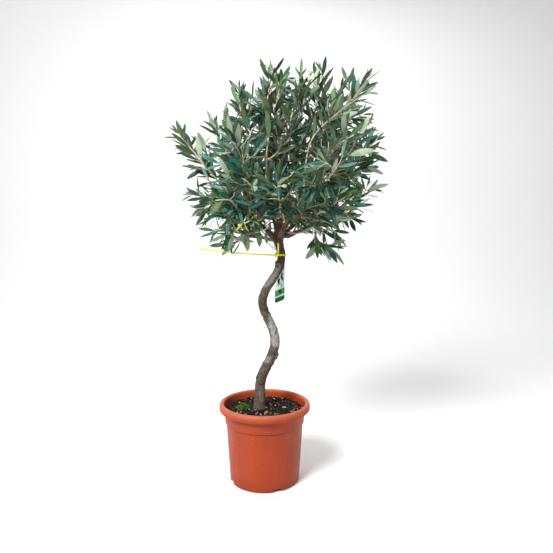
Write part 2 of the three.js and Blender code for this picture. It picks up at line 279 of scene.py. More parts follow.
barkLook = {
    "voxel": 0.0012,            # fineness of the joined bark mesh
    "slices": 62,               # stations along the trunk
    "boughSlices": 6,
    "cutMargin": 0.0025,        # how far inside its ends a solid is first and last sliced
    "boughMargin": 0.006,
    "overlap": 0.012,           # how far the boughs reach into the fork and past their ends
    "footDepth": 0.008,         # how far the stem goes on down, and how much wider it is there
    "footSwell": 1.08,
    "collar": [1.25, 1.12, 1.06, 1.02, 1.0, 1.0],  # how much thicker the boughs are, from the fork on
    "sides": 20,
    "fissure": 0.00045,         # depth of the long cracks
    "swelling": 0.0008,         # slow unevenness of the stem
    "scars": [                  # height, bearing, half size, how far it stands out, how deep its middle is
        (0.423, -62, 0.0065, 0.0010, 0.0026),
        (0.399, -40, 0.0055, 0.0008, 0.0022),
        (0.358, 0, 0.0075, 0.0030, 0.0),
        (0.616, -118, 0.0070, 0.0012, 0.0012),
        (0.300, -150, 0.0060, 0.0012, 0.0008),
        (0.520, -20, 0.0050, 0.0010, 0.0010),
        (0.252, -20, 0.0060, 0.0008, 0.0010),
        (0.470, 120, 0.0060, 0.0012, 0.0020),
        (0.560, 60, 0.0060, 0.0014, 0.0014),
    ],
    "stub": {"height": 0.679, "bearing": -4, "length": 0.017, "radius": 0.0011, "droop": 0.12},
}


def sliceNode(name, direction, count, margin):
    # Middles and radii of the cross-sections of a CAD solid, evenly spaced along a direction.
    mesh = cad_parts[name].data
    points = np.array([v.co for v in mesh.vertices])
    ends = np.array([e.vertices[:] for e in mesh.edges])
    along = points @ np.array(direction)
    first, last = along.min() + margin, along.max() - margin
    middles, radii = [], []
    for level in np.linspace(first, last, count):
        low, high = along[ends[:, 0]], along[ends[:, 1]]
        crossing = (low < level) != (high < level)
        share = ((level - low[crossing]) / (high[crossing] - low[crossing]))[:, None]
        hits = points[ends[crossing, 0]] * (1 - share) + points[ends[crossing, 1]] * share
        middle = hits.mean(0)
        middles.append(Vector(middle))
        radii.append(float(np.linalg.norm(hits - middle, axis=1).mean()))
    return middles, radii


def farthestPoint(name, origin, sign=1):
    points = [v.co.copy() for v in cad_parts[name].data.vertices]
    return max(points, key=lambda p: sign * (p - origin).length)


def tangentsOf(points):
    steps = [points[min(i + 1, len(points) - 1)] - points[max(i - 1, 0)] for i in range(len(points))]
    return [step.normalized() for step in steps]


def framesOf(points):
    # Two crosswise directions at each point, turning as little as they can along the way.
    tangents = tangentsOf(points)
    side = tangents[0].orthogonal().normalized()
    found = []
    for tangent in tangents:
        side = (side - tangent * side.dot(tangent)).normalized()
        found.append((tangent, side, tangent.cross(side)))
    return found


def extrudeLimb(bm, points, radii, sides):
    frames = framesOf(points)
    made = bmesh.ops.create_circle(bm, cap_ends=True, radius=1, segments=sides)["verts"]
    cap = made[0].link_faces[0]
    for i, (_, side, other) in enumerate(frames):
        if i:
            parts = bmesh.ops.extrude_face_region(bm, geom=[cap])["geom"]
            newCap = next(part for part in parts if isinstance(part, bmesh.types.BMFace))
            if i > 1 and cap.is_valid:
                bmesh.ops.delete(bm, geom=[cap], context="FACES_ONLY")
            cap = newCap
        for j, vert in enumerate(cap.verts):
            turn = math.tau * j / sides
            vert.co = points[i] + (side * math.cos(turn) + other * math.sin(turn)) * radii[i]


def trunkSpine():
    middles, radii = sliceNode("trunk", up, barkLook["slices"], barkLook["cutMargin"])
    tangents = tangentsOf(middles)
    radii = [r * math.sqrt(abs(t.z)) * 1.015 for r, t in zip(radii, tangents)]
    foot = middles[0] - up * barkLook["footDepth"]
    return [foot] + middles, [radii[0] * barkLook["footSwell"]] + radii


trunkPoints, trunkRadii = trunkSpine()
fork = trunkPoints[-1].copy()


def boughSpine(name):
    reach = (farthestPoint(name, fork) - fork).normalized()
    middles, radii = sliceNode(name, reach, barkLook["boughSlices"], barkLook["boughMargin"])
    start = fork - up * barkLook["overlap"]
    tip = middles[-1] + (middles[-1] - middles[-2]).normalized() * barkLook["overlap"]
    collar = [radius * swell for radius, swell in zip(radii, barkLook["collar"])]
    return [start, *middles, tip], [radii[0] * 1.5, *collar, radii[-1] * 0.7]


def trunkPlace(height):
    # The stem's middle and radius at a height.
    i = min(range(len(trunkPoints)), key=lambda k: abs(trunkPoints[k].z - height))
    return trunkPoints[i], trunkRadii[i]


def barkRelief(point, radial):
    # How far the bark stands out at a point: slow swellings, long cracks, fine scales.
    slow = noise.noise(Vector((point.x * 45, point.y * 45, point.z * 28)))
    warp = noise.noise(point * 60) * 0.8
    crack = noise.noise(Vector((radial.x * 7 + warp, radial.y * 7, point.z * 70 + warp)))
    fine = noise.noise(Vector((point.x * 420, point.y * 420, point.z * 210)))
    height = barkLook["swelling"] * slow
    height -= barkLook["fissure"] * max(0.0, 1 - abs(crack) * 5)
    return height + 0.00018 * fine


def scarSeat(level, bearing):
    middle, radius = trunkPlace(level)
    return middle + wayAt(bearing) * radius


def scarRelief(point):
    height = 0.0
    if point.z >= fork.z:
        return height
    for level, bearing, size, rim, hollow in barkLook["scars"]:
        away = (point - scarSeat(level, bearing)).length / size
        if away < 2:
            height += rim * math.exp(-((away - 0.85) * 2.2) ** 2) - hollow * math.exp(-(away * 1.9) ** 2)
            if not hollow:
                height += rim * math.exp(-(away * 1.4) ** 2)
    return height


def makeBark(boughSpines):
    bm = bmesh.new()
    extrudeLimb(bm, trunkPoints, trunkRadii, barkLook["sides"])
    for points, radii in boughSpines.values():
        extrudeLimb(bm, points, radii, barkLook["sides"])
    stub = barkLook["stub"]
    middle, radius = trunkPlace(stub["height"])
    aim = wayAt(stub["bearing"]) - up * stub["droop"]
    extrudeLimb(bm, [middle, middle + aim * (radius + stub["length"])],
                [stub["radius"] * 1.5, stub["radius"]], 10)
    rough = keepObject("barkRough", meshFromBmesh("barkRough", bm), [])
    remesh = rough.modifiers.new("join", "REMESH")
    remesh.mode = "VOXEL"
    remesh.voxel_size = barkLook["voxel"]
    depsgraph = bpy.context.evaluated_depsgraph_get()
    mesh = bpy.data.meshes.new_from_object(rough.evaluated_get(depsgraph))
    bpy.data.objects.remove(rough)
    bm = bmesh.new()
    bm.from_mesh(mesh)
    for _ in range(6):
        crotch = [v for v in bm.verts if v.co.z > fork.z - 0.03]
        bmesh.ops.smooth_vert(bm, verts=crotch, factor=0.5, use_axis_x=True, use_axis_y=True,
                              use_axis_z=True)
    bm.normal_update()
    for vert in bm.verts:
        vert.co += vert.normal * (barkRelief(vert.co, vert.normal) + scarRelief(vert.co))
    mesh.clear_geometry()
    bm.to_mesh(mesh)
    bm.free()
    smoothMesh(mesh).name = "bark"
    marks = [(*paleness(vert.co), hollowness(vert.co)) for vert in mesh.vertices]
    for label, values in zip(("paleness", "paleTone", "hollow"), zip(*marks)):
        mesh.attributes.new(label, "FLOAT", "POINT").data.foreach_set("value", values)
    return keepObject("bark", mesh, [makeBarkMaterial()])


def paleness(point):
    # How far a point of the bark lies inside a smooth pale patch, and how pale that patch is.
    most, tone = 0.0, 0.0
    for low, high, bearing, halfTurn, strength in barkZones["patches"]:
        if low - 0.02 < point.z < high + 0.02:
            middle, _ = trunkPlace(point.z)
            turn = math.atan2(point.y - middle.y, point.x - middle.x) - math.radians(bearing)
            aside = abs((turn + math.pi) % math.tau - math.pi) / math.radians(halfTurn)
            along = abs(point.z - (low + high) / 2) / ((high - low) / 2)
            inside = min(1.0, max(0.0, (1.25 - math.hypot(aside, along ** 2)) * 2))
            if inside > most:
                most, tone = inside, strength
    return most, tone


def hollowness(point):
    # How far a point lies inside a scar's dark middle.
    most = 0.0
    for level, bearing, size, _, hollow in barkLook["scars"]:
        if hollow and abs(point.z - level) < size * 2:
            away = (point - scarSeat(level, bearing)).length / size
            most = max(most, min(1.0, max(0.0, 1.5 - away * 1.8)))
    return most


barkZones = {                   # bark colour by height, from the foot up
    "zones": [
        (0.200, (0.120, 0.086, 0.058)),
        (0.300, (0.090, 0.064, 0.044)),
        (0.345, (0.078, 0.053, 0.036)),
        (0.370, (0.042, 0.027, 0.019)),
        (0.392, (0.108, 0.080, 0.058)),
        (0.440, (0.098, 0.070, 0.050)),
        (0.462, (0.076, 0.051, 0.033)),
        (0.505, (0.048, 0.032, 0.023)),
        (0.542, (0.075, 0.053, 0.039)),
        (0.606, (0.060, 0.040, 0.029)),
        (0.626, (0.042, 0.026, 0.019)),
        (0.650, (0.058, 0.033, 0.023)),
        (0.680, (0.100, 0.056, 0.037)),
        (0.710, (0.135, 0.068, 0.041)),
        (0.800, (0.155, 0.078, 0.048)),
    ],
    "patches": [                # lowest and highest point, bearing, half the turn, how pale
        (0.556, 0.620, -122, 52, 0.46),
        (0.384, 0.452, -66, 70, 0.85),
        (0.430, 0.480, -30, 50, 0.80),
        (0.343, 0.362, -125, 45, 0.60),
        (0.225, 0.275, -60, 40, 0.25),
    ],
    "patchColor": (0.335, 0.327, 0.315),
    "hollow": (0.050, 0.032, 0.022),
    "wander": 0.022,            # how far a zone's edge wanders up and down
    "lichen": (0.42, 0.41, 0.37),
    "crack": (0.035, 0.026, 0.020),
    "pit": (0.30, 0.27, 0.23),
    "specular": 0.22,
}


def makeBarkMaterial():
    zones = barkZones["zones"]
    first, last = zones[0][0], zones[-1][0]
    material, tree, shader = startMaterial("oliveBark", (0.15, 0.12, 0.1), 0.85)
    place = objectPlace(tree)
    height = addNode(tree, "SeparateXYZ", Vector=place).outputs["Z"]
    drift = addNode(tree, "TexNoise", Vector=place, Scale=38.0, Detail=4.0).outputs[0]
    centred = calc(tree, "SUBTRACT", drift, 0.5)
    wandering = calc(tree, "MULTIPLY_ADD", centred, barkZones["wander"] * 2, height)
    share = rescale(tree, wandering, first, last)
    ramp = addNode(tree, "ValToRGB", Fac=share)
    stops = ramp.color_ramp.elements
    while len(stops) < len(zones):
        stops.new(0.5)
    for stop, (level, color) in zip(stops, zones):
        stop.position = (level - first) / (last - first)
        stop.color = (*color, 1)
    pale, tone, hollow = (addNode(tree, "Attribute", {"attribute_name": name}).outputs["Fac"]
                          for name in ("paleness", "paleTone", "hollow"))
    edged = rescale(tree, calc(tree, "MULTIPLY_ADD", centred, 2.2, pale), 0.35, 0.65)
    patch = calc(tree, "MULTIPLY", edged, tone)
    color = mixColors(tree, patch, ramp.outputs[0], barkZones["patchColor"])
    color = mixColors(tree, hollow, color, barkZones["hollow"])
    for key, scale, amount, tall in (("lichen", 150.0, 0.16, 0.7), ("crack", 260.0, 0.6, 0.35)):
        color = useGroup(tree, "mottle", Color=color, Patch_Color=barkZones[key], Scale=scale,
                         Amount=amount, Stretch=(1, 1, tall))["Color"]
    for key, scale, share in (("pit", 420.0, 0.10), ("hollow", 230.0, 0.16)):
        color = useGroup(tree, "specks", Color=color, Speck_Color=barkZones[key], Scale=scale, Size=0.30,
                         Share=share)["Color"]
    grain = useGroup(tree, "grain", Scale=330.0, Depth=0.8, Stretch=(1, 1, 0.4), Roughness=0.82,
                     Unevenness=0.3)
    coat(tree, shader, color, grain, barkZones["specular"])
    return material


boughNames = sorted(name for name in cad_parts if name.startswith("bough"))
boughSpines = {name: boughSpine(name) for name in boughNames}
finishPiece(makeBark(boughSpines), "bark", "trunk", *boughNames)
print("bark: trunk and", len(boughNames), "boughs joined")


# Leaves and twigs

leafLook = {
    "length": (0.042, 0.070),
    "width": 0.228,             # of the length
    "petiole": 0.07,            # share of the length
    "thickness": 0.0007,
    "ribWidth": 0.085,          # of the half width
    "fold": (-0.12, 0.30),      # how far the margins rise, of the half width
    "bend": (-0.30, 0.70),      # radians, base to tip, positive bends back
    "angle": (18, 48),          # between leaf and shoot
    "twist": 52,
    "skyward": 0.55,            # how much the upper side turns up rather than to the shoot
    "droops": {"top": 0.05, "middle": 0.16, "low": 0.34, "hanging": 0.85, "heart": 0.20},
    "rises": {"top": 0.42, "middle": 0.36, "low": 0.22, "hanging": -0.35, "heart": 0.40},
    "spacing": (0.0150, 0.0240),
    "stations": [0.0, 0.06, 0.15, 0.32, 0.53, 0.74, 0.90, 1.0],
    "clearOfFork": 0.058,
    "clearOfStem": 0.050,
    "clearFront": 0.030,
    "overFork": 0.050,
    "skirt": 0.006,
}
shootLook = {
    "step": 0.009,
    "tipReserve": 0.030,        # room left for the last leaves in front of a leader's end
    "hullReserve": 0.028,       # the same inside the outline of the whole crown
    "massReserve": 0.002,
    "shootVolume": 0.74e-4,     # one shoot for each share of a mass
    "fewest": 5,
    "thinner": {"hanging": 0.7, "top": 1.4},
    "shortest": 0.040,
    "leaderRadius": (0.0036, 0.0016),
    "sideRadius": (0.0023, 0.0010),
    "placedRadius": (0.0028, 0.0012),
    "wander": 0.0014,
    "sides": 6,
}
leafTints = {                   # upper side colours and how many sprays of ten get them
    "deepTeal": ((0.004, 0.050, 0.034), 3.6),
    "blueGreen": ((0.010, 0.100, 0.076), 3.2),
    # partly a real grey-green tint and partly painted sheen: lighter upper sides standing in for light
    # caught on the leaves
    "greyGreen": ((0.038, 0.200, 0.160), 2.1),
    "olive": ((0.040, 0.105, 0.026), 1.2),
    "freshGreen": ((0.045, 0.130, 0.011), 0.3),
}
underTints = {
    "sage": ((0.185, 0.272, 0.150), 4.2),
    "silver": ((0.390, 0.480, 0.350), 2.0),
    "duskySage": ((0.098, 0.150, 0.072), 3.4),
}


def leafMaterial(name, color, roughness, specular):
    patchColor = tuple(part * 0.62 for part in color)
    return mottledMaterial(name, color, patchColor, roughness, scale=55.0, amount=0.7, grainScale=900.0,
                           grainDepth=0.12, unevenness=0.22, specular=specular)[0]


leafMaterials = [
    *(leafMaterial("leaf_" + name, color, 0.42, 0.26) for name, (color, _) in leafTints.items()),
    *(leafMaterial("under_" + name, color, 0.78, 0.15) for name, (color, _) in underTints.items()),
    leafMaterial("leafRib", (0.16, 0.22, 0.12), 0.5, 0.4),
    leafMaterial("leaf_yellowing", (0.46, 0.50, 0.02), 0.5, 0.4),
]
underStart = len(leafTints)
ribSlot = underStart + len(underTints)
yellowSlot = ribSlot + 1

woodMaterials = [
    mottledMaterial("youngShoot", (0.60, 0.49, 0.32), (0.36, 0.30, 0.17), 0.6, scale=90.0)[0],
    mottledMaterial("reddishShoot", (0.20, 0.075, 0.045), (0.34, 0.22, 0.13), 0.6, scale=80.0)[0],
    mottledMaterial("oldTwig", (0.17, 0.10, 0.066), (0.08, 0.048, 0.034), 0.8, scale=120.0)[0],
    startMaterial("dryFibre", (0.55, 0.53, 0.50), 0.8)[0],
]


def leafWidthAt(share):
    petiole = leafLook["petiole"]
    if share <= petiole:
        return 0.10
    t = (share - petiole) / (1 - petiole)
    return math.sin(math.pi * t ** 0.95) ** 0.7


def leafTemplate():
    # Five columns of points from the leaf stalk to the tip: two margins, two beside the rib, one below.
    rib = leafLook["ribWidth"]
    columns = [(-1, 0, 1), (-rib, 1, 0), (rib, 1, 0), (1, 0, 1), (0, -1, 0)]
    points, faces, kinds = [(0, 0, 0, 0)], [], []
    inner = leafLook["stations"][1:-1]
    for share in inner:
        width = leafWidthAt(share)
        points += [(x * width, share, z, lift * width) for x, z, lift in columns]
    points.append((0, 1, 0, 0))
    last = len(points) - 1
    columnKinds = [0, 1, 0, 2, 2]  # blade, rib, blade, under, under
    for j in range(5):
        a, b = 1 + j, 1 + (j + 1) % 5
        faces.append((0, b, a))
        kinds.append(columnKinds[j])
        for i in range(len(inner) - 1):
            faces.append((a + 5 * i, b + 5 * i, b + 5 * i + 5, a + 5 * i + 5))
            kinds.append(columnKinds[j])
        end = 5 * (len(inner) - 1)
        faces.append((a + end, b + end, last))
        kinds.append(columnKinds[j])
    return np.array(points), faces, kinds


leafPoints, leafFaces, leafKinds = leafTemplate()


def layLeaves(leaves):
    # One joined mesh's points, faces and slots from a list of placed leaves.
    x, along, thick, lift = leafPoints.T
    points, faces, slots = [], [], []
    for count, leaf in enumerate(leaves):
        length, bend = leaf["length"], leaf["bend"]
        half = length * leafLook["width"] * leaf["breadth"] / 2
        turn = bend * along
        forward = np.sin(turn) / bend * length
        down = (1 - np.cos(turn)) / bend * length
        raised = thick * leafLook["thickness"] / 2 + lift * half * leaf["fold"]
        axis, face, side = (np.array(leaf[key]) for key in ("axis", "face", "side"))
        placed = (np.array(leaf["foot"]) + np.outer(x * half, side)
                  + np.outer(forward + raised * np.sin(turn), axis)
                  + np.outer(raised * np.cos(turn) - down, face))
        points.append(placed)
        base = count * len(leafPoints)
        faces += [tuple(base + i for i in face) for face in leafFaces]
        choice = (leaf["upper"], ribSlot, leaf["under"])
        slots += [choice[kind] for kind in leafKinds]
    return np.concatenate(points), faces, slots


def layTwigs(branches):
    # Closed round tubes along the branches, joined.
    points, faces, slots = [], [], []
    sides = shootLook["sides"]
    for branch in branches:
        base = len(points)
        path, radii = branch["points"], branch["radii"]
        points.append(path[0][:])
        for (_, side, other), middle, radius in zip(framesOf(path), path, radii):
            for j in range(sides):
                turn = math.tau * j / sides
                points.append((middle + (side * math.cos(turn) + other * math.sin(turn)) * radius)[:])
        points.append(path[-1][:])
        top = len(points) - 1
        for i, radius in enumerate(radii):
            ring = base + 1 + i * sides
            slot = branch["slots"][i]
            for j in range(sides):
                k = (j + 1) % sides
                if i == 0:
                    faces.append((base, ring + k, ring + j))
                    slots.append(slot)
                if i < len(radii) - 1:
                    faces.append((ring + j, ring + k, ring + sides + k, ring + sides + j))
                else:
                    faces.append((ring + j, ring + k, top))
                slots.append(slot)
    return points, faces, slots


def smoothPath(points, count):
    # Evenly spaced points on a smooth curve through a few.
    padded = [points[0] * 2 - points[1], *points, points[-1] * 2 - points[-2]]
    dense = []
    for a, b, c, d in zip(padded, padded[1:], padded[2:], padded[3:]):
        for i in range(8):
            t = i / 8
            dense.append(0.5 * (2 * b + (c - a) * t + (2 * a - 5 * b + 4 * c - d) * t ** 2
                                + (3 * b - a - 3 * c + d) * t ** 3))
    dense.append(points[-1])
    reach = np.cumsum([0] + [(q - p).length for p, q in zip(dense, dense[1:])])
    array = np.array([p[:] for p in dense])
    marks = np.linspace(0, reach[-1], count)
    return [Vector(p) for p in np.stack([np.interp(marks, reach, array[:, k]) for k in range(3)], 1)]


def pickWeighted(rng, tints, start):
    weights = [weight for _, weight in tints.values()]
    return start + rng.choices(range(len(weights)), weights)[0]


def growLeaves(rng, path, leafy, droop):
    # Opposite pairs of leaves along a shoot, each pair crossing the last, and a tuft at the end.
    frames = framesOf(path)
    reach = np.cumsum([0] + [(q - p).length for p, q in zip(path, path[1:])])
    total = float(reach[-1])
    upper = pickWeighted(rng, leafTints, 0)
    under = pickWeighted(rng, underTints, underStart)
    leaves = []
    at = total * leafy + 0.004
    turn = rng.uniform(0, math.pi)
    while at < total + 0.002:
        i = min(int(np.searchsorted(reach, at)), len(path) - 1)
        tangent, side, other = frames[i]
        left = total - at
        young = min(1.0, 0.55 + left / 0.06)
        angle = math.radians(rng.uniform(*leafLook["angle"])) * (0.55 + 0.45 * young)
        for flip in (0, math.pi):
            if rng.random() < 0.05:
                continue
            around = turn + flip + rng.uniform(-0.25, 0.25)
            out = side * math.cos(around) + other * math.sin(around)
            axis = tangent * math.cos(angle) + out * math.sin(angle)
            axis = (axis - up * rng.uniform(0.0, droop) * young).normalized()
            sky = tangent * 0.55 + up * leafLook["skyward"]
            face = sky - axis * sky.dot(axis)
            face = face.normalized() if face.length > 1e-4 else axis.orthogonal().normalized()
            face.rotate(Matrix.Rotation(math.radians(rng.gauss(0, leafLook["twist"])), 3, axis))
            bend = rng.uniform(*leafLook["bend"])
            foot = path[i] + out * 0.0006
            leaves.append({
                "foot": foot[:], "axis": axis[:], "face": face[:], "side": axis.cross(face)[:],
                "length": rng.uniform(*leafLook["length"]) * young,
                "breadth": rng.uniform(0.72, 1.14), "fold": rng.uniform(*leafLook["fold"]),
                "bend": bend if abs(bend) > 0.02 else 0.02,
                "upper": upper if rng.random() < 0.8 else pickWeighted(rng, leafTints, 0),
                "under": under if rng.random() < 0.7 else pickWeighted(rng, underTints, underStart),
            })
        at += rng.uniform(*leafLook["spacing"]) * (0.6 + 0.4 * young)
        turn += math.pi / 2 + rng.uniform(-0.2, 0.2)
    return leaves


def branchSlots(rng, radii):
    # Old wood where a shoot is thick, and here and there a reddish shoot.
    red = rng.random() < 0.22
    return [2 if r > 0.0031 else 1 if red and r > 0.0012 else 0 for r in radii]


def closedShape(points, faces=None):
    # A tree for inside tests, and the volume: of the given faces, or of the points' convex hull.
    bm = bmesh.new()
    verts = [bm.verts.new(p) for p in points]
    for face in faces or []:
        bm.faces.new([verts[i] for i in face])
    if faces is None:
        bmesh.ops.convex_hull(bm, input=verts)
        bmesh.ops.delete(bm, geom=[v for v in bm.verts if not v.link_faces], context="VERTS")
    bmesh.ops.remove_doubles(bm, verts=bm.verts, dist=1e-6)
    bmesh.ops.recalc_face_normals(bm, faces=bm.faces)
    tree, volume = BVHTree.FromBMesh(bm), bm.calc_volume()
    bm.free()
    return tree, volume


def depthIn(tree, point):
    # Distance to a closed surface, negative outside it.
    place, normal, _, distance = tree.find_nearest(point)
    return distance if (place - point).dot(normal) > 0 else -distance


def pickShootEnds(rng, low, high, fits, chosen, count):
    # Places for shoots to reach, spread evenly through the part of a box that fits.
    chosen = list(chosen)
    for _ in range(count):
        tries = [Vector([rng.uniform(low[k], high[k]) for k in range(3)]) for _ in range(40)]
        tries = [p for p in tries if fits(p)]
        if tries:
            chosen.append(max(tries, key=lambda p: min((p - q).length for q in chosen)))
    return chosen[1:]


def joinShoot(rng, nodes, end, rise):
    # The best place on the wood so far to grow from, and the path from it to the shoot's end.
    def cost(node):
        way = end - node[0]
        aim = way.normalized()
        return way.length * (1.9 - 0.9 * node[1].dot(aim) - rise * aim.z)
    far = [node for node in nodes if (end - node[0]).length > shootLook["shortest"]]
    if not far:
        return None
    start, heading, radius = min(far, key=cost)
    way = end - start
    aim = way.normalized()
    early = start + (heading * 0.5 + aim * 0.5) * way.length * 0.33
    late = end - (aim * (1 - abs(rise)) + up * rise) * way.length * 0.3
    early += gaussVector(rng, shootLook["wander"])
    late += gaussVector(rng, shootLook["wander"])
    path = smoothPath([start, early, late, end], max(4, round(way.length / shootLook["step"])))
    return path, radius


def growMass(name, start, startDirection):
    rng = random.Random("spray " + name)
    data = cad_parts[name].data
    tree, volume = closedShape([v.co for v in data.vertices], [p.vertices[:] for p in data.polygons])
    inner = farthestPoint(name, fork, -1)
    tip = farthestPoint(name, fork)
    axis = (tip - inner).normalized()
    middles, _ = sliceNode(name, axis, 5, (tip - inner).length * 0.1)
    end = tip - axis * shootLook["tipReserve"]
    knots = [start, start + startDirection * 0.02]
    knots += [m + gaussVector(rng, shootLook["wander"]) for m in middles[:-1]] + [end]
    leader = smoothPath(knots, max(8, int(pathLength(knots) / shootLook["step"])))
    wide, narrow = shootLook["leaderRadius"]
    radii = [wide + (narrow - wide) * (i / (len(leader) - 1)) ** 0.8 for i in range(len(leader))]
    branches = [{"points": leader, "radii": radii, "slots": branchSlots(rng, radii)}]
    tier = name.split("_")[1]
    droop = leafLook["droops"][tier]
    leaves = growLeaves(rng, leader, 0.40, droop)
    nodes = list(zip(leader, tangentsOf(leader), radii))[max(2, len(leader) // 7):]
    thinner = shootLook["thinner"].get(tier, 1.0)
    count = max(shootLook["fewest"], round(volume / shootLook["shootVolume"] / thinner))
    ends = pickShootEnds(rng, *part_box(name), lambda p: depthIn(tree, p) > shootLook["massReserve"]
                         and depthIn(crownHull, p) > shootLook["hullReserve"], [end], count)
    leaves += growShoots(rng, nodes, ends, leafLook["rises"][tier], droop, branches)
    return leader, branches, leaves


def growShoots(rng, nodes, ends, rise, droop, branches):
    # Shoots from the wood so far to each of the ends; they become wood that later ones grow from.
    leaves = []
    for shootEnd in ends:
        joined = joinShoot(rng, nodes, shootEnd, rise)
        if not joined:
            continue
        path, parent = joined
        wide, narrow = shootLook["sideRadius"]
        radii = taper(min(wide, parent * 0.8), narrow, len(path))
        branches.append({"points": path, "radii": radii, "slots": branchSlots(rng, radii)})
        nodes += list(zip(path, tangentsOf(path), radii))[2:-2:2]
        leaves += growLeaves(rng, path, 0.18, droop)
    return leaves


def growInside():
    # Thin twigs with few leaves that fill the room over the fork, under the masses.
    rng = random.Random("inside")
    look = insideLook
    nodes = [(place, heading, 0.0030) for place, heading in anchors if (place - fork).length < look["room"]]
    low = fork + Vector((-look["across"], -look["across"], look["lowest"]))
    high = fork + Vector((look["across"], look["across"], look["highest"]))
    ends = pickShootEnds(rng, low, high, lambda p: depthIn(crownHull, p) > look["hullReserve"], [fork],
                         look["count"])
    branches = []
    leaves = growShoots(rng, nodes, ends, look["rise"], look["droop"], branches)
    for branch in branches:
        branch["slots"] = [2 if r > look["oldRadius"] else slot
                           for r, slot in zip(branch["radii"], branch["slots"])]
    return branches, [leaf for leaf in leaves if rng.random() < look["leafShare"]]


def clearOfStem(leaf, hanging):
    # Whether a leaf leaves the stem and the fork free, and reaches down no further than the crown does.
    foot, tip = Vector(leaf["foot"]), Vector(leaf["foot"]) + Vector(leaf["axis"]) * leaf["length"]
    middle = (foot + tip) / 2
    if abs(middle.x - fork.x) < leafLook["clearFront"] and middle.z < fork.z + leafLook["overFork"]:
        return False
    stem = Vector((fork.x, fork.y, min(foot.z, fork.z)))
    if (foot - stem).length < leafLook["clearOfFork"] or (tip - stem).xy.length < leafLook["clearOfStem"]:
        return tip.z > fork.z + leafLook["overFork"] and foot.z > fork.z + leafLook["overFork"]
    return hanging or tip.z > fork.z + leafLook["skirt"]


def keepSpray(plain, branches, leaves, *replaced):
    hanging = plain.startswith(("hanging", "placed"))
    leaves = [leaf for leaf in leaves if clearOfStem(leaf, hanging)]
    twigMesh = meshFromArrays("twigs_" + plain, *layTwigs(branches))
    finishPiece(keepObject("twigs_" + plain, twigMesh, woodMaterials), "bark")
    leafMesh = meshFromArrays("leaves_" + plain, *layLeaves(leaves), sharpAngle=55)
    finishPiece(keepObject("leaves_" + plain, leafMesh, leafMaterials), "foliage", *replaced)
    return len(branches), len(leaves)


placedShoots = {                # share without leaves, then the places passed on the way out
    "frontRight": (0.42, (0.105, -0.11, 0.810), (0.118, -0.15, 0.928), (0.178, -0.16, 0.993),
                   (0.272, -0.10, 1.070)),
    "frontMiddle": (0.42, (0.008, -0.12, 0.830), (0.010, -0.17, 0.905), (0.016, -0.16, 0.970),
                    (-0.012, -0.11, 1.035)),
    "right": (0.55, (0.143, -0.14, 0.818), (0.205, -0.18, 0.890), (0.252, -0.15, 0.962)),
    "left": (0.40, (-0.158, -0.06, 0.886), (-0.228, -0.05, 0.970)),
    "topLeft": (0.30, (-0.034, -0.09, 0.966), (-0.075, -0.04, 1.075)),
    "topMiddle": (0.35, (0.008, -0.07, 0.993), (0.012, -0.06, 1.069), (0.024, -0.05, 1.132)),
    "topHigh": (0.30, (0.060, -0.09, 0.980), (0.090, -0.08, 1.050), (0.097, -0.05, 1.122)),
    "topRight": (0.30, (0.090, -0.09, 0.966), (0.108, -0.09, 1.060), (0.128, -0.05, 1.116)),
    "yellowing": (0.40, (-0.050, -0.14, 0.730), (-0.030, -0.155, 0.737)),
}
placedLook = {"droop": 0.03, "reddish": "right", "yellowSize": 0.68, "stalkRadius": (0.0010, 0.0008)}
hungLeaves = [                  # foot, length, breadth and degrees to the right of straight down
    ((-0.102, -0.05, 0.703), 0.052, 0.9, -66),
    ((-0.080, -0.06, 0.709), 0.058, 0.9, -18),
    ((-0.062, -0.07, 0.714), 0.042, 0.9, 14),
    ((-0.050, -0.06, 0.714), 0.064, 1.2, 8),
    ((-0.013, -0.05, 0.716), 0.047, 1.5, 1),
    ((0.004, -0.05, 0.712), 0.036, 1.2, 7),
    ((0.143, -0.06, 0.674), 0.050, 1.4, -38),
    ((0.178, -0.06, 0.674), 0.044, 1.1, 108),
]


def woodTo(wood, knots, wide, narrow, slot=0):
    # A shoot from the nearest wood through a few places.
    knots = [Vector(place) for place in knots]
    path = [min(wood, key=lambda p: (p - knots[0]).length), *knots]
    path = smoothPath(path, max(4, round(pathLength(path) / shootLook["step"])))
    return {"points": path, "radii": taper(wide, narrow, len(path)), "slots": [slot] * len(path)}


def growPlaced(wood):
    # The long shoots that stand out of the crown, and the single leaves that hang from it.
    rng = random.Random("placed")
    look = placedLook
    branches, leaves = [], []
    for name, (bare, *knots) in placedShoots.items():
        slot = 1 if name == look["reddish"] else 0
        branches.append(woodTo(wood, knots, *shootLook["placedRadius"], slot))
        grown = growLeaves(rng, branches[-1]["points"], bare, look["droop"])
        if name == "yellowing":
            for leaf in grown:
                leaf["length"] *= look["yellowSize"]
                leaf["upper"] = leaf["under"] = yellowSlot
        leaves += grown
    for place, length, breadth, turn in hungLeaves:
        branches.append(woodTo(wood, [place], *look["stalkRadius"]))
        turn = math.radians(turn)
        leaf = dict(rng.choice(leaves))
        axis = Vector((math.sin(turn), rng.uniform(-0.2, 0.1), -math.cos(turn))).normalized()
        face = Vector((0, 1, 0))
        face = (face - axis * face.dot(axis)).normalized()
        leaf.update(foot=place, axis=axis[:], face=face[:], side=axis.cross(face)[:], length=length,
                    breadth=breadth, upper=underStart, under=underStart)
        leaves.append(leaf)
    return branches, leaves


def makeStrands():
    # Fine pale fibres hanging beside the stem, under the fork.
    rng = random.Random("strands")
    look = strandLook
    branches = []
    for _ in range(look["count"]):
        top = Vector(look["top"]) + gaussVector(rng, look["spread"])
        foot = Vector(look["foot"]) + gaussVector(rng, look["spread"])
        middle = (top + foot) / 2 + gaussVector(rng, look["spread"])
        path = smoothPath([top, middle, foot], 9)
        branches.append({"points": path, "radii": [look["radius"]] * 9, "slots": [3] * 9})
    return branches


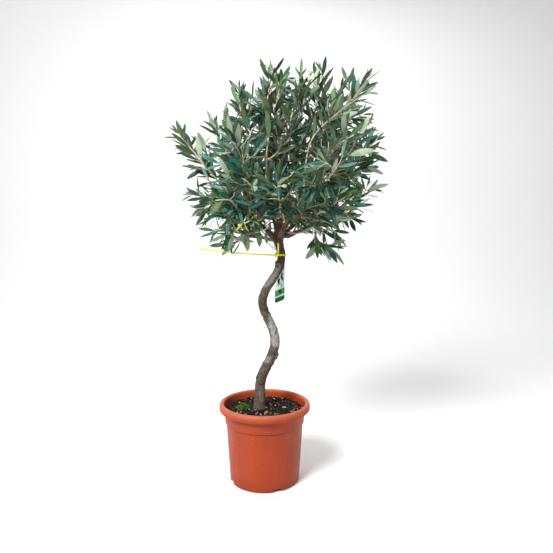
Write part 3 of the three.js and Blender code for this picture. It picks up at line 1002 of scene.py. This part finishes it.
strandLook = {"count": 13, "top": (-0.004, -0.012, 0.706), "foot": (0.029, -0.016, 0.655), "spread": 0.006,
              "radius": 0.00035}
insideLook = {
    "count": 75,
    "room": 0.125,              # only wood this near the fork bears these twigs
    "across": 0.135,
    "lowest": 0.012,
    "highest": 0.100,
    "hullReserve": 0.035,
    "leafShare": 0.8,
    "droop": 0.5,
    "rise": 0.25,
    "oldRadius": 0.0012,
}
allFoliage = [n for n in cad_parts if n.startswith("foliage")]
crownHull, _ = closedShape([v.co.copy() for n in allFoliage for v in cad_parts[n].data.vertices])
massNames = sorted(allFoliage, key=lambda name: (farthestPoint(name, fork, -1) - fork).length)
anchors = []                    # places where a leader may start, with the way that wood grows there
for points, radii in boughSpines.values():
    for place, heading in list(zip(points, tangentsOf(points)))[2:]:
        anchors.append((place, heading))
woodPlaces = [place for place, _ in anchors]
counts = []
for name in massNames:
    inner = farthestPoint(name, fork, -1)
    outward = (farthestPoint(name, fork) - inner).normalized()
    place, heading = min(anchors, key=lambda a: (a[0] - inner).length - 0.03 * a[1].dot(outward))
    leader, branches, leaves = growMass(name, place, heading)
    grown = list(zip(leader, tangentsOf(leader)))
    anchors += grown[: len(grown) // 2: 3]
    woodPlaces += [point for branch in branches for point in branch["points"][:-2]]
    counts.append(keepSpray(name.replace("foliage_", ""), branches, leaves, name))
counts.append(keepSpray("placed", *growPlaced(woodPlaces)))
counts.append(keepSpray("inside", *growInside()))
strandMesh = meshFromArrays("strands", *layTwigs(makeStrands()))
finishPiece(keepObject("strands", strandMesh, woodMaterials), "bark")
twigTotal, leafTotal = (sum(column) for column in zip(*counts))
print("crown:", len(massNames), "masses,", twigTotal, "shoots,", leafTotal, "leaves")


# Pot

_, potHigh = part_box("pot")
potLook = {
    "height": potHigh.z,
    "rimRadius": potHigh.x,
    "rimWidth": 0.0135,
    "rimDepth": 0.0205,
    "collarTop": 0.1160,        # radii and heights of the collar and the body
    "collarFoot": 0.1127,
    "collarHeight": 0.168,
    "bodyTop": 0.1096,
    "foot": 0.0990,
    "footRound": 0.0035,
    "wall": 0.0028,
    "rimRound": 0.0078,         # the rim's outer edge above, and below
    "rimUnder": 0.0034,
    "recess": 0.003,            # how far the underside stands clear of the floor
    "floorTop": 0.0055,
    "wobble": 0.0006,
    "steps": 240,
    "notchBearing": -67.5,
    "notchWidth": 0.027,
    "notchHeight": 0.0078,
    "notchEase": 0.0045,        # how soon a notch rises from its edge
    "lifted": 0.018,            # how far up the foot a notch is felt
}


def potProfile():
    p = potLook
    top, out = p["height"], p["rimRadius"]
    rimFoot = top - p["rimDepth"]
    inside = out - p["rimWidth"]
    big, small = p["rimRound"], p["rimUnder"]
    profile = [(0, p["recess"]), (p["foot"] * 0.93, p["recess"]), (p["foot"] - 0.0042, 0.0)]
    profile += arc((p["foot"] - p["footRound"], p["footRound"]), p["footRound"], -90, 0, 5)
    for height in (0.006, 0.009, 0.013, 0.018):
        share = height / p["collarHeight"]
        profile.append((p["foot"] + (p["bodyTop"] - p["foot"]) * share, height))
    profile += [(p["bodyTop"] - 0.004, 0.100), (p["bodyTop"], p["collarHeight"] - 0.0030)]
    profile += [(p["bodyTop"] + 0.0006, p["collarHeight"] - 0.0012)]
    profile += arc((p["collarFoot"] - 0.0010, p["collarHeight"] + 0.0010), 0.0010, -80, 0, 4)
    profile += [(p["collarTop"] - 0.0006, rimFoot - 0.0030), (p["collarTop"], rimFoot - 0.0008)]
    profile += [(p["collarTop"] + 0.0012, rimFoot + 0.0004)]
    profile += arc((out - small, rimFoot + small), small, -88, 0, 6)
    profile += arc((out - big, top - big), big, 0, 90, 9)
    inner = out - big - inside
    profile += arc((inside + inner, top - inner), inner, 96, 180, 7)
    profile += [(inside - 0.0012, rimFoot), (p["collarTop"] - p["wall"], rimFoot - 0.006)]
    profile += [(p["collarFoot"] - p["wall"], p["collarHeight"] + 0.004)]
    profile += [(p["bodyTop"] - p["wall"], p["collarHeight"])]
    return profile + [(p["foot"] - p["wall"], p["floorTop"]), (0, p["floorTop"])]


def notchRise(bearing):
    # How far the foot is lifted at a bearing, in one of four rounded notches.
    p = potLook
    away = (bearing - p["notchBearing"] + 45) % 90 - 45
    across = abs(math.radians(away)) * p["foot"]
    edge = p["notchWidth"] / 2
    share = min(1.0, max(0.0, (edge - across) / p["notchEase"]))
    return p["notchHeight"] * math.sin(share * math.pi / 2)


def makePot():
    bm = bmesh.new()
    spinProfile(bm, potProfile(), potLook["steps"])
    lifted = potLook["lifted"]
    for vert in bm.verts:
        radius = math.hypot(vert.co.x, vert.co.y)
        if radius > potLook["foot"] * 0.9 and vert.co.z < lifted:
            rise = notchRise(math.degrees(math.atan2(vert.co.y, vert.co.x)))
            vert.co.z = rise + vert.co.z * (1 - rise / lifted)
        wobble = noise.noise(vert.co * 14) * potLook["wobble"] * min(1.0, vert.co.z / 0.05)
        if radius > 0.05:
            vert.co.x *= 1 + wobble / radius
            vert.co.y *= 1 + wobble / radius
    return keepObject("pot_shell", meshFromBmesh("pot_shell", bm, sharpAngle=50), [makePotMaterial()])


potColors = {
    "plastic": (0.350, 0.044, 0.009),
    "faded": (0.400, 0.064, 0.018),
    # painted highlight: a lighter colour on the rim, growing towards its top where the light falls
    "rim": (0.520, 0.140, 0.070),
    "stain": (0.170, 0.022, 0.008),
    # painted shade: a thin dark line just under the collar's step, where its shadow falls
    "seam": (0.060, 0.008, 0.003),
    "paleSpeck": (0.62, 0.24, 0.10),
    "darkSpeck": (0.06, 0.010, 0.005),
}


def makePotMaterial():
    c = potColors
    material, tree, shader, color = mottledMaterial(
        "terracottaPlastic", c["plastic"], c["faded"], 0.46, scale=16.0, amount=0.35,
        grainScale=900.0, grainDepth=0.22, unevenness=0.25, specular=0.24)
    color = useGroup(tree, "mottle", Color=color, Patch_Color=c["stain"], Scale=7.0, Amount=0.28,
                     Stretch=(3, 3, 0.6))["Color"]
    for key, scale, size, share in (("paleSpeck", 230.0, 0.22, 0.035), ("darkSpeck", 170.0, 0.16, 0.045)):
        color = useGroup(tree, "specks", Color=color, Speck_Color=c[key], Scale=scale, Size=size,
                         Share=share)["Color"]
    height = addNode(tree, "SeparateXYZ", Vector=objectPlace(tree)).outputs["Z"]
    rimFoot = potLook["height"] - potLook["rimDepth"]
    color = mixColors(tree, rescale(tree, height, 0.035, 0.0, 0.0, 0.38), color, c["stain"])
    # Painted highlight: the colour turns lighter up the rim towards its top.
    rim = rescale(tree, height, rimFoot + 0.006, potLook["height"], 0.0, 0.8)
    color = mixColors(tree, rim, color, c["rim"])
    # Painted shade: a thin dark band just under the collar's step.
    seam = calc(tree, "COMPARE", height, potLook["collarHeight"] - 0.0014, 0.0010)
    tree.links.new(mixColors(tree, seam, color, c["seam"]), shader.inputs["Base Color"])
    return material


finishPiece(makePot(), "pot", "pot")
print("pot: rim, collar and four drain notches")


# Compost, with chips, moss and stones on it

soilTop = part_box("soil")[1].z
soilLook = {
    "radius": potLook["collarTop"] - potLook["wall"] - 0.0006,
    "edgeDrop": 0.006,
    "lump": 0.0035,
    "crumbs": 2600,
    "crumbSize": (0.0009, 0.0034),
    "chips": 420,
    "chipSize": (0.004, 0.013),
    "litter": 60,
    "litterSize": (0.0012, 0.0028),
    "clearOfStem": 0.014,
    "depth": 0.02,
}
soilColors = {
    "humus": (0.005, 0.004, 0.003),
    "compost": (0.012, 0.009, 0.007),
    "brownChip": (0.042, 0.024, 0.014),
    "greyChip": (0.065, 0.055, 0.044),
    "paleChip": (0.330, 0.250, 0.150),
    "pinkChip": (0.520, 0.180, 0.110),
    "orangeChip": (0.520, 0.170, 0.035),
    "whiteStone": (0.780, 0.760, 0.700),
    "greenGrit": (0.110, 0.150, 0.095),
    "moss": (0.070, 0.140, 0.012),
    "brightMoss": (0.150, 0.260, 0.024),
}
soilMaterials = [
    mottledMaterial("soil_" + name, color, tuple(part * 0.45 for part in color), 0.85, scale=220.0,
                    amount=0.7, grainScale=900.0, grainDepth=0.6, specular=0.25)[0]
    for name, color in soilColors.items()
]
soilSlots = {name: i for i, name in enumerate(soilColors)}


def soilHeight(x, y):
    out = math.hypot(x, y) / soilLook["radius"]
    lumps = noise.noise(Vector((x, y, 0)) * 45) * 0.5 + noise.noise(Vector((x, y, 0.3)) * 120) * 0.35
    return soilTop - 0.0015 - soilLook["edgeDrop"] * max(0.0, out - 0.55) * 1.6 + lumps * soilLook["lump"]


def makeSoilBed():
    bm = bmesh.new()
    radius = soilLook["radius"]
    rings = 44
    top = [(radius * i / rings, soilTop) for i in range(rings + 1)]
    floor = soilTop - soilLook["depth"]
    spinProfile(bm, top + [(radius - 0.004, floor), (0, floor)], 150)
    for vert in bm.verts:
        if vert.co.z > soilTop - 0.001:
            vert.co.z = soilHeight(vert.co.x, vert.co.y) + noise.noise(vert.co * 400) * 0.0009
    return keepObject("compost_bed", meshFromBmesh("compost_bed", bm), [soilMaterials[0]])


def bitTemplate(kind):
    # A crumb is a small uneven ball, and a chip a tapered slab.
    bm = bmesh.new()
    if kind == "crumb":
        bmesh.ops.create_icosphere(bm, subdivisions=1, radius=1)
    else:
        bmesh.ops.create_cube(bm, size=2)
        for vert in bm.verts:
            vert.co.y *= 0.42 if vert.co.x > 0 else 0.62
            vert.co.z *= 0.14 if vert.co.x > 0 else 0.22
    bm.verts.index_update()
    points = np.array([v.co for v in bm.verts])
    faces = [tuple(v.index for v in face.verts) for face in bm.faces]
    bm.free()
    return points, faces


def layBits(bits):
    shapes = {kind: bitTemplate(kind) for kind in ("crumb", "chip")}
    points, faces, slots = [], [], []
    base = 0
    for bit in bits:
        shape, shapeFaces = shapes[bit["kind"]]
        jitter = np.random.default_rng(bit["seed"]).uniform(0.72, 1.28, shape.shape)
        turned = (shape * jitter * bit["size"]) @ np.array(bit["turn"]).T
        points.append(turned + np.array(bit["place"]))
        faces += [tuple(base + i for i in face) for face in shapeFaces]
        slots += [soilSlots[bit["color"]]] * len(shapeFaces)
        base += len(shape)
    return np.concatenate(points), faces, slots


def scatterPlace(rng):
    while True:
        out = soilLook["radius"] * 0.985 * math.sqrt(rng.random())
        turn = rng.uniform(0, math.tau)
        x, y = out * math.cos(turn), out * math.sin(turn)
        foot = trunkPoints[0]
        if math.hypot(x - foot.x, y - foot.y) > soilLook["clearOfStem"]:
            return x, y


def randomTurn(rng, flat=1.0):
    pitch = Matrix.Rotation(rng.gauss(0, 0.5) * flat, 3, "X")
    roll = Matrix.Rotation(rng.gauss(0, 0.4) * flat, 3, "Y")
    return Matrix.Rotation(rng.uniform(0, math.tau), 3, "Z") @ (pitch @ roll)


def makeBit(kind, color, x, y, lift, size, seed, turn):
    return {"kind": kind, "color": color, "place": (x, y, soilHeight(x, y) + lift), "size": size,
            "seed": seed, "turn": turn}


def makeSoilBits():
    rng = random.Random(11)
    bits = []
    for i in range(soilLook["crumbs"]):
        x, y = scatterPlace(rng)
        low, high = soilLook["crumbSize"]
        size = low + (high - low) * rng.random() ** 2.2
        color = rng.choices(["humus", "compost", "brownChip"], [5, 3, 1])[0]
        bits.append(makeBit("crumb", color, x, y, size * 0.3, size, i, randomTurn(rng, 3)))
    for i in range(soilLook["chips"]):
        x, y = scatterPlace(rng)
        size = rng.uniform(*soilLook["chipSize"]) / 2
        color = rng.choices(["brownChip", "compost", "humus", "greyChip", "paleChip"], [5, 4, 3, 2, 0.5])[0]
        bits.append(makeBit("chip", color, x, y, 0.0012, size, 5000 + i, randomTurn(rng)))
    for i in range(soilLook["litter"]):
        x, y = scatterPlace(rng)
        size = rng.uniform(*soilLook["litterSize"]) * 1.3
        color = rng.choice(["paleChip", "greenGrit", "whiteStone", "greyChip", "pinkChip"])
        kind = rng.choice(["crumb", "chip"])
        bits.append(makeBit(kind, color, x, y, 0.0016, size, 9000 + i, randomTurn(rng)))
    return bits


keptBits = [                    # kind, colour, x, y, size
    ("crumb", "whiteStone", 0.058, -0.002, (0.0036, 0.0075, 0.0034)),
    ("crumb", "whiteStone", 0.026, 0.084, (0.0045, 0.0030, 0.0022)),
    ("crumb", "greenGrit", 0.084, 0.034, (0.0060, 0.0040, 0.0030)),
    ("chip", "orangeChip", 0.017, 0.014, (0.0050, 0.0045, 0.0060)),
    ("chip", "orangeChip", 0.006, -0.047, (0.0048, 0.0060, 0.0080)),
    ("chip", "pinkChip", -0.021, -0.052, (0.0095, 0.0045, 0.0060)),
    ("chip", "pinkChip", 0.002, -0.060, (0.0060, 0.0040, 0.0050)),
    ("chip", "paleChip", 0.036, -0.058, (0.0110, 0.0040, 0.0060)),
    ("chip", "paleChip", 0.078, -0.030, (0.0080, 0.0040, 0.0060)),
    ("chip", "greyChip", 0.088, 0.008, (0.0100, 0.0050, 0.0070)),
    ("crumb", "greenGrit", -0.030, -0.018, (0.0060, 0.0040, 0.0026)),
    ("crumb", "greenGrit", -0.022, -0.026, (0.0040, 0.0030, 0.0022)),
    ("crumb", "greyChip", 0.094, 0.020, (0.0050, 0.0040, 0.0030)),
    ("chip", "brownChip", 0.070, 0.050, (0.0120, 0.0050, 0.0080)),
]


def placeKeptBits():
    rng = random.Random(5)
    return [makeBit(kind, color, x, y, size[2] * 0.45, np.array(size), 12000 + i, randomTurn(rng, 0.5))
            for i, (kind, color, x, y, size) in enumerate(keptBits)]


mossLook = {"x": -0.060, "y": 0.002, "radius": 0.021, "height": 0.012, "tufts": 900, "blade": 0.0034}


def makeMoss():
    # A cushion of small pointed leaves on a low mound.
    rng = random.Random(23)
    points, faces, slots = [], [], []
    for _ in range(mossLook["tufts"]):
        out = math.sqrt(rng.random())
        turn = rng.uniform(0, math.tau)
        edge = 1 + 0.35 * noise.noise(Vector((math.cos(turn), math.sin(turn), 0)) * 1.7)
        x = mossLook["x"] + out * edge * mossLook["radius"] * math.cos(turn)
        y = mossLook["y"] + out * edge * mossLook["radius"] * math.sin(turn)
        dome = mossLook["height"] * (1 - out ** 2) * (0.75 + 0.5 * noise.noise(Vector((x, y, 0)) * 130))
        seat = Vector((x, y, soilHeight(x, y) + dome))
        lean = Vector((math.cos(turn) * out, math.sin(turn) * out, 0.9)).normalized()
        for _ in range(3):
            tip = (lean + gaussVector(rng, 1) * 0.5).normalized()
            side = tip.orthogonal().normalized() * mossLook["blade"] * 0.22
            length = mossLook["blade"] * rng.uniform(0.6, 1.3)
            base = len(points)
            points += [(seat + way)[:] for way in (side, -side, tip.cross(side), tip * length)]
            faces += [(base + a, base + b, base + c) for a, b, c in
                      ((0, 1, 3), (1, 2, 3), (2, 0, 3), (0, 2, 1))]
            slots += [rng.choice([soilSlots["moss"], soilSlots["moss"], soilSlots["brightMoss"]])] * 4
    return meshFromArrays("moss_clump", points, faces, slots)


finishPiece(makeSoilBed(), "compost", "soil")
bitMesh = meshFromArrays("compost_bits", *layBits(makeSoilBits() + placeKeptBits()), sharpAngle=40)
finishPiece(keepObject("compost_bits", bitMesh, soilMaterials), "compost")
finishPiece(keepObject("moss_clump", makeMoss(), soilMaterials), "compost")
print("compost: bed, crumbs, chips and moss")


# Strap and label

tieLook = {
    "height": 0.644,
    "clearance": 0.0026,
    "thickness": 0.0013,
    "width": 0.0044,
    "headRadius": 0.0070,
    "headDepth": 0.0066,
    "headBearing": 215,
    "tongue": 0.034,
    "tongueShift": (0.0052, -0.0020, 0.0),
    "tongueLean": 14,           # degrees towards the front
    "edgeRound": 0.0013,
    "tailRise": 0.017,
    "sag": 0.0015,
    "color": (0.880, 0.740, 0.014),
    "paleColor": (0.95, 0.80, 0.10),
}
tieLow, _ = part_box("label_tie")
labelLow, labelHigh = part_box("plant_label")


def addRibbon(bm, path, wide, thickness):
    # A flat strip along a path; wide is the way across it.
    _, edges = addLine(bm, [place - wide / 2 for place in path])
    bmesh.ops.solidify(bm, geom=widenLine(bm, edges, wide), thickness=thickness)


def makeTie():
    t = tieLook
    middle, radius = trunkPlace(t["height"])
    ring = radius + t["clearance"]
    bm = bmesh.new()
    half = t["width"] / 2
    outer = ring + t["thickness"]
    band, loop = addLine(bm, [(ring, 0, -half), (outer, 0, -half), (outer, 0, half), (ring, 0, half)])
    loop.append(bm.edges.new((band[3], band[0])))
    bmesh.ops.spin(bm, geom=band + loop, cent=(0, 0, 0), axis=(0, 0, 1), angle=math.tau, steps=56,
                   use_merge=True, use_duplicate=False)
    outward = wayAt(t["headBearing"])
    seat = outward * (ring + t["headDepth"] / 2)
    head = bmesh.ops.create_cone(bm, cap_ends=True, segments=28, radius1=t["headRadius"],
                                 radius2=t["headRadius"] * 0.9, depth=t["headDepth"])["verts"]
    rims = list({e for v in head for e in v.link_edges if abs(e.verts[0].co.z - e.verts[1].co.z) < 1e-5})
    bmesh.ops.rotate(bm, verts=head, cent=(0, 0, 0), matrix=up.rotation_difference(outward).to_matrix())
    bmesh.ops.translate(bm, verts=head, vec=seat)
    bmesh.ops.bevel(bm, geom=rims, offset=t["edgeRound"], affect="EDGES", segments=3, profile=0.5,
                    material=-1)
    foot = seat + Vector(t["tongueShift"])
    rise = Matrix.Rotation(math.radians(t["tongueLean"]), 3, "X") @ up * t["tongue"]
    addRibbon(bm, [foot + rise * share for share in np.linspace(0, 1, 6)],
              Vector((t["width"], 0, 0)), t["thickness"])
    reach = middle.x + seat.x - tieLow.x
    tail = []
    for share in np.linspace(0, 1, 20):
        rise = t["tailRise"] * share ** 1.3 - t["sag"] * math.sin(math.pi * share)
        tail.append(seat + Vector((-reach * share, 0, rise)))
    addRibbon(bm, tail, up * t["width"], t["thickness"])
    bmesh.ops.translate(bm, verts=bm.verts, vec=middle)
    mesh = meshFromBmesh("tie_strap", bm, sharpAngle=35)
    material, _, shader, _ = mottledMaterial("strapPlastic", t["color"], t["paleColor"], 0.38, scale=60.0,
                                             amount=0.4)
    shader.inputs["Subsurface Weight"].default_value = 0.1
    return keepObject("tie_strap", mesh, [material])


labelLook = {
    "corner": 0.0065,
    "thickness": 0.0008,
    "white": (0.800, 0.840, 0.790),
    "tint": (0.600, 0.700, 0.600),
    "head": (0.170, 0.250, 0.020),
    "band": (0.040, 0.340, 0.080),
    "foot": (0.004, 0.105, 0.042),
    "leafPrint": (0.270, 0.420, 0.300),
    "palePrint": (0.520, 0.640, 0.520),
    "olivePrint": (0.008, 0.006, 0.006),
    "headShare": 0.20,          # of the length, from the top
    "bandShare": 0.35,          # from the foot, along the slant
    "stripeShare": 0.215,
    "footShare": 0.180,
    "slant": 0.42,
    "footRise": 0.009,          # how far the slanted foot is cut away at its middle
    "neckWidth": 0.0058,
    "neckShift": 0.0055,
    "hang": 0.014,              # how far the plate's top is under the strap
    "printLift": 0.62,          # how far the print is from the middle of the plate, of its thickness
    "leafPrints": 22,
    "leafSize": (0.010, 0.019),
}


def makeLabel():
    look = labelLook
    width = labelHigh.x - labelLow.x
    bottom = labelLow.z
    top = tieLook["height"] - look["hang"]
    middle = (labelLow.x + labelHigh.x) / 2
    depth = labelHigh.y - look["thickness"] / 2
    bm = bmesh.new()
    addBox(bm, (width, look["thickness"], top - bottom), (middle, depth, (top + bottom) / 2))
    bmesh.ops.bisect_plane(bm, geom=bm.verts[:] + bm.edges[:] + bm.faces[:],
                           plane_co=(middle, 0, bottom + look["footRise"]), plane_no=(look["slant"], 0, -1),
                           clear_outer=True)
    bmesh.ops.holes_fill(bm, edges=[e for e in bm.edges if e.is_boundary])
    corners = [e for e in bm.edges if abs(e.verts[0].co.y - e.verts[1].co.y) > look["thickness"] / 2]
    bmesh.ops.bevel(bm, geom=corners, offset=look["corner"], affect="EDGES", segments=6, profile=0.5,
                    material=-1)
    neckLow, neckHigh = top - 0.008, tieLook["height"] + 0.003
    addBox(bm, (look["neckWidth"], look["thickness"], neckHigh - neckLow),
           (middle + look["neckShift"], depth, (neckHigh + neckLow) / 2))
    mesh = meshFromBmesh("label_plate", bm, sharpAngle=35)
    return keepObject("label_plate", mesh, [makeLabelMaterial(bottom, top)]), bottom, top, middle, depth


def makeLabelMaterial(bottom, top):
    look = labelLook
    material, tree, shader, color = mottledMaterial(
        "labelPrint", look["white"], look["tint"], 0.35, scale=120.0, amount=0.5, grainDepth=0.03)
    split = addNode(tree, "SeparateXYZ", Vector=objectPlace(tree)).outputs
    slanted = calc(tree, "MULTIPLY_ADD", split["X"], -look["slant"], split["Z"])
    span = top - bottom
    shift = -look["slant"] * (labelLow.x + labelHigh.x) / 2
    for share, tone in (("bandShare", "band"), ("stripeShare", "white"), ("footShare", "foot")):
        below = calc(tree, "LESS_THAN", slanted, bottom + span * look[share] + shift)
        color = mixColors(tree, below, color, look[tone])
    above = calc(tree, "GREATER_THAN", split["Z"], top - span * look["headShare"])
    tree.links.new(mixColors(tree, above, color, look["head"]), shader.inputs["Base Color"])
    return material


def makeLabelPrints(bottom, top, middle, depth):
    # Small leaf shapes and one dark fruit, printed on both sides of the plate.
    look = labelLook
    rng = random.Random("label")
    outline = [(0, 0), (0.5, 0.28), (0.55, 0.6), (0, 1), (-0.55, 0.6), (-0.5, 0.28)]
    points, faces, slots = [], [], []
    def addPrint(x, z, turn, length, breadth, slot):
        lift = look["thickness"] * look["printLift"]
        for y in (depth - lift, depth + lift):
            base = len(points)
            for across, along in outline:
                a, b = across * breadth, (along - 0.5) * length
                points.append((x + a * math.cos(turn) - b * math.sin(turn), y,
                               z + a * math.sin(turn) + b * math.cos(turn)))
            faces.append(tuple(range(base, base + len(outline))))
            slots.append(slot)
    low, high = bottom + (top - bottom) * 0.40, top - (top - bottom) * 0.26
    for i in range(look["leafPrints"]):
        x = middle + rng.uniform(-0.0078, 0.0078)
        z = low + (high - low) * (i + rng.random()) / look["leafPrints"]
        length = rng.uniform(*look["leafSize"])
        addPrint(x, z, rng.uniform(-0.55, 0.55), length, length * 0.26, rng.randrange(2))
    addPrint(middle + 0.001, bottom + (top - bottom) * 0.30, -0.3, 0.0130, 0.0080, 2)
    colors = [look["leafPrint"], look["palePrint"], look["olivePrint"]]
    materials = [startMaterial("print_" + str(i), color, 0.4)[0] for i, color in enumerate(colors)]
    return keepObject("label_prints", meshFromArrays("label_prints", points, faces, slots), materials)


finishPiece(makeTie(), "tie", "label_tie")
labelPlate, *labelPlace = makeLabel()
finishPiece(labelPlate, "label", "plant_label")
finishPiece(makeLabelPrints(*labelPlace), "label")
print("strap and label made")


# Floor, light and camera

stageLook = {
    "floor": (0.86, 0.86, 0.86),
    "halfWidth": 4.0,
    "front": -3.0,
    "back": 2.6,
    "curve": 1.2,
    "height": 4.0,
    "world": 0.235,
    "litPlace": (0.03, 0, 0.6),
}
lights = [                      # name, place, size, power
    ("keyLight", (-1.5, -2.3, 2.9), 1.2, 190),
    ("fillLight", (2.4, -1.8, 1.6), 2.2, 14),
    ("topLight", (0.2, 0.9, 3.2), 2.2, 50),
]
cameraLook = {
    "place": (0.034, -1.412, 0.686),
    "pitch": -4.1,
    "lens": 32.55,
    "sensor": 36.0,
}


def makeStage():
    s = stageLook
    bend = arc((s["back"] - s["curve"], s["curve"]), s["curve"], -90, 0, 14)
    path = [(s["front"], 0.0), *bend, (s["back"], s["height"])]
    bm = bmesh.new()
    _, edges = addLine(bm, [(-s["halfWidth"], y, z) for y, z in path])
    widenLine(bm, edges, (2 * s["halfWidth"], 0, 0))
    material, _, _ = startMaterial("paleFloor", s["floor"], 0.9)
    keepObject("floor", meshFromBmesh("floor", bm), [material])
    world = bpy.data.worlds.new("studio")
    world.use_nodes = True
    sky = world.node_tree.nodes["Background"].inputs
    sky[0].default_value = (1, 1, 1, 1)
    sky[1].default_value = s["world"]
    bpy.context.scene.world = world


def makeLights():
    target = Vector(stageLook["litPlace"])
    for name, place, size, power in lights:
        data = bpy.data.lights.new(name, "AREA")
        data.size = size
        data.energy = power
        obj = bpy.data.objects.new(name, data)
        obj.location = place
        obj.rotation_euler = (target - Vector(place)).to_track_quat("-Z", "Y").to_euler()
        bpy.context.scene.collection.objects.link(obj)


def makeCamera():
    data = bpy.data.cameras.new("camera")
    data.lens = cameraLook["lens"]
    data.sensor_width = cameraLook["sensor"]
    obj = bpy.data.objects.new("camera", data)
    obj.location = cameraLook["place"]
    obj.rotation_euler = (math.radians(90 + cameraLook["pitch"]), 0, 0)
    bpy.context.scene.collection.objects.link(obj)
    bpy.context.scene.camera = obj


makeStage()
makeLights()
makeCamera()
bpy.context.scene.view_settings.view_transform = "Standard"
print("stage, lights and camera set")
